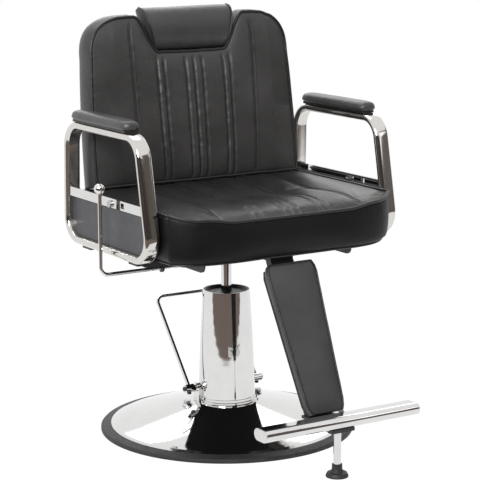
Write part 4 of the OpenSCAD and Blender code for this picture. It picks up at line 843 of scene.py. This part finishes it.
# Calf pad
def build_calf():
    length, thick = CALF_LEN, CALF_T
    a = math.radians(CALF_LEAN)
    y0, z0 = -CALF_TOP_Y - length * math.sin(a), CALF_TOP_Z - length * math.cos(a)
    s = refine(both_ways([0, 1]), 0.1)
    t = refine(np.array([0, 0.03, 0.07, 0.93, 0.97, 1.0]), 0.02)
    gs, gt = np.meshgrid(s, t)
    wide = (CALF_FOOT_W + (CALF_TOP_W - CALF_FOOT_W) * gt) * np.interp(
        gt, (0, 0.03, 0.07, 0.93, 0.97, 1), (0.86, 0.95, 1, 1, 0.95, 0.86))
    face = np.stack([gs * wide, length * gt,
                     thick * 0.3 * (1 - np.abs(gs) ** 3) * (1 - np.abs(2 * gt - 1) ** 8)], -1)
    loop = Form.edge_of(face)
    middle, half = (0, length / 2), (CALF_TOP_W, length / 2)
    rings = [at_height(scaled_loop(loop, middle, half, o), -thick * h)
             for o, h in ((1.5, 0.15), (2, 0.35), (1.6, 0.55), (1, 0.75), (-0.4, 0.9), (-2, 1))]
    form = Form(s, t, face, rings)
    form.co = on_face(y0, z0, CALF_LEAN)(form.co)
    pad = make("calf_pad_cover", form.co, form.faces, LEATHER_PAD_PAINTED_LIGHT, BODY["calf_pad"],
               ("calf_pad",))
    puff(pad, form, sewn_points(form, (), -1), 2.6, 0.008)
    crumple(form, np.full(len(form.co), 0.4), 0.7 * MM, 0.03, 31.0)
    settle(pad, form, 1)
    edge = form.co[form.loop]
    piping("calf_piping", edge + form.normals()[form.loop] * 0.6 * MM, 2.2 * MM, BODY["calf_pad"])


# Arm tubes
def build_arm_loops():
    corners = np.array(TUBE_CORNERS, float)
    bend_steps = 32
    stations = []
    n = len(corners)
    for i in range(n):
        before, p, after = corners[i - 1], corners[i], corners[(i + 1) % n]
        u1 = (before - p) / np.linalg.norm(before - p)
        u2 = (after - p) / np.linalg.norm(after - p)
        half = math.acos(float(np.dot(u1, u2))) / 2
        centre = p + (u1 + u2) / np.linalg.norm(u1 + u2) * TUBE_BEND / math.sin(half)
        travel = p - before
        start = math.atan2(travel[1], travel[0]) - math.pi / 2
        for k in range(bend_steps + 1):
            ang = start + (math.pi - 2 * half) * k / bend_steps
            out = np.array([math.cos(ang), math.sin(ang)])
            stations.append((centre + TUBE_BEND * out, out))
    caps = 14
    section = []
    for side in (1, -1):
        for k in range(caps + 1):
            ang = math.pi * k / caps - math.pi / 2 * side
            section.append((side * TUBE_FLAT + TUBE_R * math.cos(ang), TUBE_R * math.sin(ang)))
    m, count = len(section), len(stations)
    for side, sign in SIDES.items():
        verts = [((sign * ARM_X + qx) * MM, (c[0] + qy * o[0]) * MM, (c[1] + qy * o[1]) * MM)
                 for c, o in stations for qx, qy in section]
        faces = []
        for j in range(count):
            here, there = j * m, (j + 1) % count * m
            faces.extend((here + i, here + (i + 1) % m, there + (i + 1) % m, there + i)
                         for i in range(m))
        make("arm_tube_" + side, verts, faces, CHROME_WARM, "seat", ("arm_loop_" + side,))


BODY = {node: body for body, nodes in frame["record"]["behaviour"]["bodies"].items() for node in nodes}
build_seat()
build_back()
build_rear_cover()
build_pillow()
build_arm_pads()
build_calf()
build_arm_loops()


# Stage and light
FLOOR_HALF, FLOOR_GLOW, CAMERA_SHARE, MIRROR_SHARE = 6, 1.06, 0.93, 0.85
SKY, SKY_LIGHT = (0.97, 0.98, 1), 0.34


def stage_mesh(name, verts, faces, material):
    mesh = bpy.data.meshes.new(name)
    mesh.from_pydata(verts, [], faces)
    mesh.materials.append(material)
    obj = bpy.data.objects.new(name, mesh)
    bpy.context.scene.collection.objects.link(obj)
    return obj


def floor_material():
    m = Shade("floor_white")
    m.mat.cycles.emission_sampling = "NONE"
    out = m.tree.nodes["Material Output"]
    m.set(Base_Color=(0.9, 0.9, 0.9), Roughness=0.85, Specular_IOR_Level=0.1)
    glow = m.node("ShaderNodeEmission")
    glow.inputs["Strength"].default_value = FLOOR_GLOW
    path = m.node("ShaderNodeLightPath")
    mix = m.node("ShaderNodeMixShader")
    share = m.add(m.add(path.outputs["Is Camera Ray"], CAMERA_SHARE, "MULTIPLY"),
                  m.add(path.outputs["Is Glossy Ray"], MIRROR_SHARE, "MULTIPLY"))
    m.link(share, mix.inputs[0])
    m.link(m.bsdf.outputs[0], mix.inputs[1])
    m.link(glow.outputs[0], mix.inputs[2])
    m.link(mix.outputs[0], out.inputs["Surface"])
    return m.mat


def painted_reflection_material(name, value):
    # A fixed glowing colour: a painted reflection
    m = Shade(name)
    m.mat.cycles.emission_sampling = "NONE"
    out = m.tree.nodes["Material Output"]
    glow = m.node("ShaderNodeEmission")
    glow.inputs["Color"].default_value = (*value, 1)
    m.link(glow.outputs[0], out.inputs["Surface"])
    return m.mat


floor_corners = [(FLOOR_HALF * x, FLOOR_HALF * y, 0) for x, y in ((-1, -1), (1, -1), (1, 1), (-1, 1))]
stage_mesh("floor", floor_corners, [(0, 1, 2, 3)], floor_material())


def ahead(distance, across, height):
    """A point in front of the chair on the camera's side, moved across to the camera's right."""
    a = math.radians(-90 - CAMERA_YAW)
    return (distance * math.cos(a) - across * math.sin(a),
            distance * math.sin(a) + across * math.cos(a), height)


def column_reflection_card():
    """A dark glowing funnel round the column, seen only in reflections: a painted reflection in the
    dish. Rays from inside pass through it.
    """
    m = Shade("painted_reflection_column")
    m.mat.cycles.emission_sampling = "NONE"
    glow, clear, pick = (m.node("ShaderNode" + kind)
                         for kind in ("Emission", "BsdfTransparent", "MixShader"))
    glow.inputs["Color"].default_value = (0.008, 0.008, 0.008, 1)
    m.link(m.node("ShaderNodeNewGeometry").outputs["Backfacing"], pick.inputs[0])
    m.link(glow.outputs[0], pick.inputs[1])
    m.link(clear.outputs[0], pick.inputs[2])
    m.link(pick.outputs[0], m.tree.nodes["Material Output"].inputs["Surface"])
    sides, low, high = 48, (0.072, 0.075), (0.15, 0.30)
    turn = [2 * math.pi * k / sides for k in range(sides)]
    verts = [(r * math.cos(a), r * math.sin(a), z) for r, z in (low, high) for a in turn]
    faces = [(k, (k + 1) % sides, sides + (k + 1) % sides, sides + k) for k in range(sides)]
    return stage_mesh("painted_reflection_column", verts, faces, m.mat)


# Glowing cards seen only in reflections, a painted reflection of a dim room beyond the white floor:
# where the white floor ends in the room, how far the room goes, how wide and how high it is
NEAR, FAR, WIDE, HIGH = 0.98, 4.2, 13, 2.3
REFLECTION_CARDS = (
    ("painted_reflection_floor", ((NEAR, -WIDE, 0.003), (NEAR, WIDE, 0.003), (FAR, WIDE, 0.003), (FAR, -WIDE, 0.003)),
     (0.19, 0.15, 0.13)),
    ("painted_reflection_room", ((FAR, -WIDE, 0), (FAR, WIDE, 0), (FAR, WIDE, HIGH), (FAR, -WIDE, HIGH)),
     (0.05, 0.042, 0.038)),
    ("card_right", ((-1.5, 3.2, 0), (2.5, 3.2, 0), (2.5, 3.2, 2.4), (-1.5, 3.2, 2.4)),
     (0.12, 0.105, 0.095)),
)
reflection_cards = [stage_mesh(name, [ahead(*corner) for corner in corners], [(0, 1, 2, 3)],
                    painted_reflection_material(name, value)) for name, corners, value in REFLECTION_CARDS]
# The cards light nothing and cast no shadow: they are seen only in reflections, as painted reflections
for reflection_card in reflection_cards + [column_reflection_card()]:
    reflection_card.visible_camera = reflection_card.visible_diffuse = reflection_card.visible_shadow = False
    reflection_card.visible_volume_scatter = reflection_card.visible_transmission = False

world = bpy.data.worlds.new("studio")
bpy.context.scene.world = world
world.use_nodes = True
wt = world.node_tree
white = wt.nodes["Background"]
white.inputs["Color"].default_value = (1, 1, 1, 1)
white.inputs["Strength"].default_value = 1.0
soft = wt.nodes.new("ShaderNodeBackground")
soft.inputs["Color"].default_value = (*SKY, 1)
soft.inputs["Strength"].default_value = SKY_LIGHT
ray = wt.nodes.new("ShaderNodeLightPath")
seen = wt.nodes.new("ShaderNodeMath")
seen.operation = "MAXIMUM"
wt.links.new(ray.outputs["Is Camera Ray"], seen.inputs[0])
mirrored = wt.nodes.new("ShaderNodeMath")
mirrored.operation = "MAXIMUM"
wt.links.new(ray.outputs["Is Glossy Ray"], mirrored.inputs[0])
wt.links.new(ray.outputs["Is Transmission Ray"], mirrored.inputs[1])
wt.links.new(mirrored.outputs[0], seen.inputs[1])
pick = wt.nodes.new("ShaderNodeMixShader")
wt.links.new(seen.outputs[0], pick.inputs[0])
wt.links.new(soft.outputs[0], pick.inputs[1])
wt.links.new(white.outputs[0], pick.inputs[2])
wt.links.new(pick.outputs[0], wt.nodes["World Output"].inputs["Surface"])


def lamp(name, place, target, size, power):
    data = bpy.data.lights.new(name, "AREA")
    data.shape = "RECTANGLE"
    data.size, data.size_y = size
    data.energy = power
    obj = bpy.data.objects.new(name, data)
    obj.location = place
    obj.rotation_euler = (Vector(target) - Vector(place)).to_track_quat("-Z", "Y").to_euler()
    bpy.context.scene.collection.objects.link(obj)


lamp("key", (-2.6, -2.0, 2.2), (0, 0, 0.6), (1.4, 1.2), 85)
lamp("fill", (2.4, -2.4, 1.4), (0, 0, 0.5), (1.5, 1.5), 10)
lamp("top", (0, 0.9, 2.8), (0, 0, 0.5), (2.0, 1.4), 20)
lamp("rear", (1.25, 2.0, 1.9), (0, 0, 0.6), (2.6, 0.8), 11)
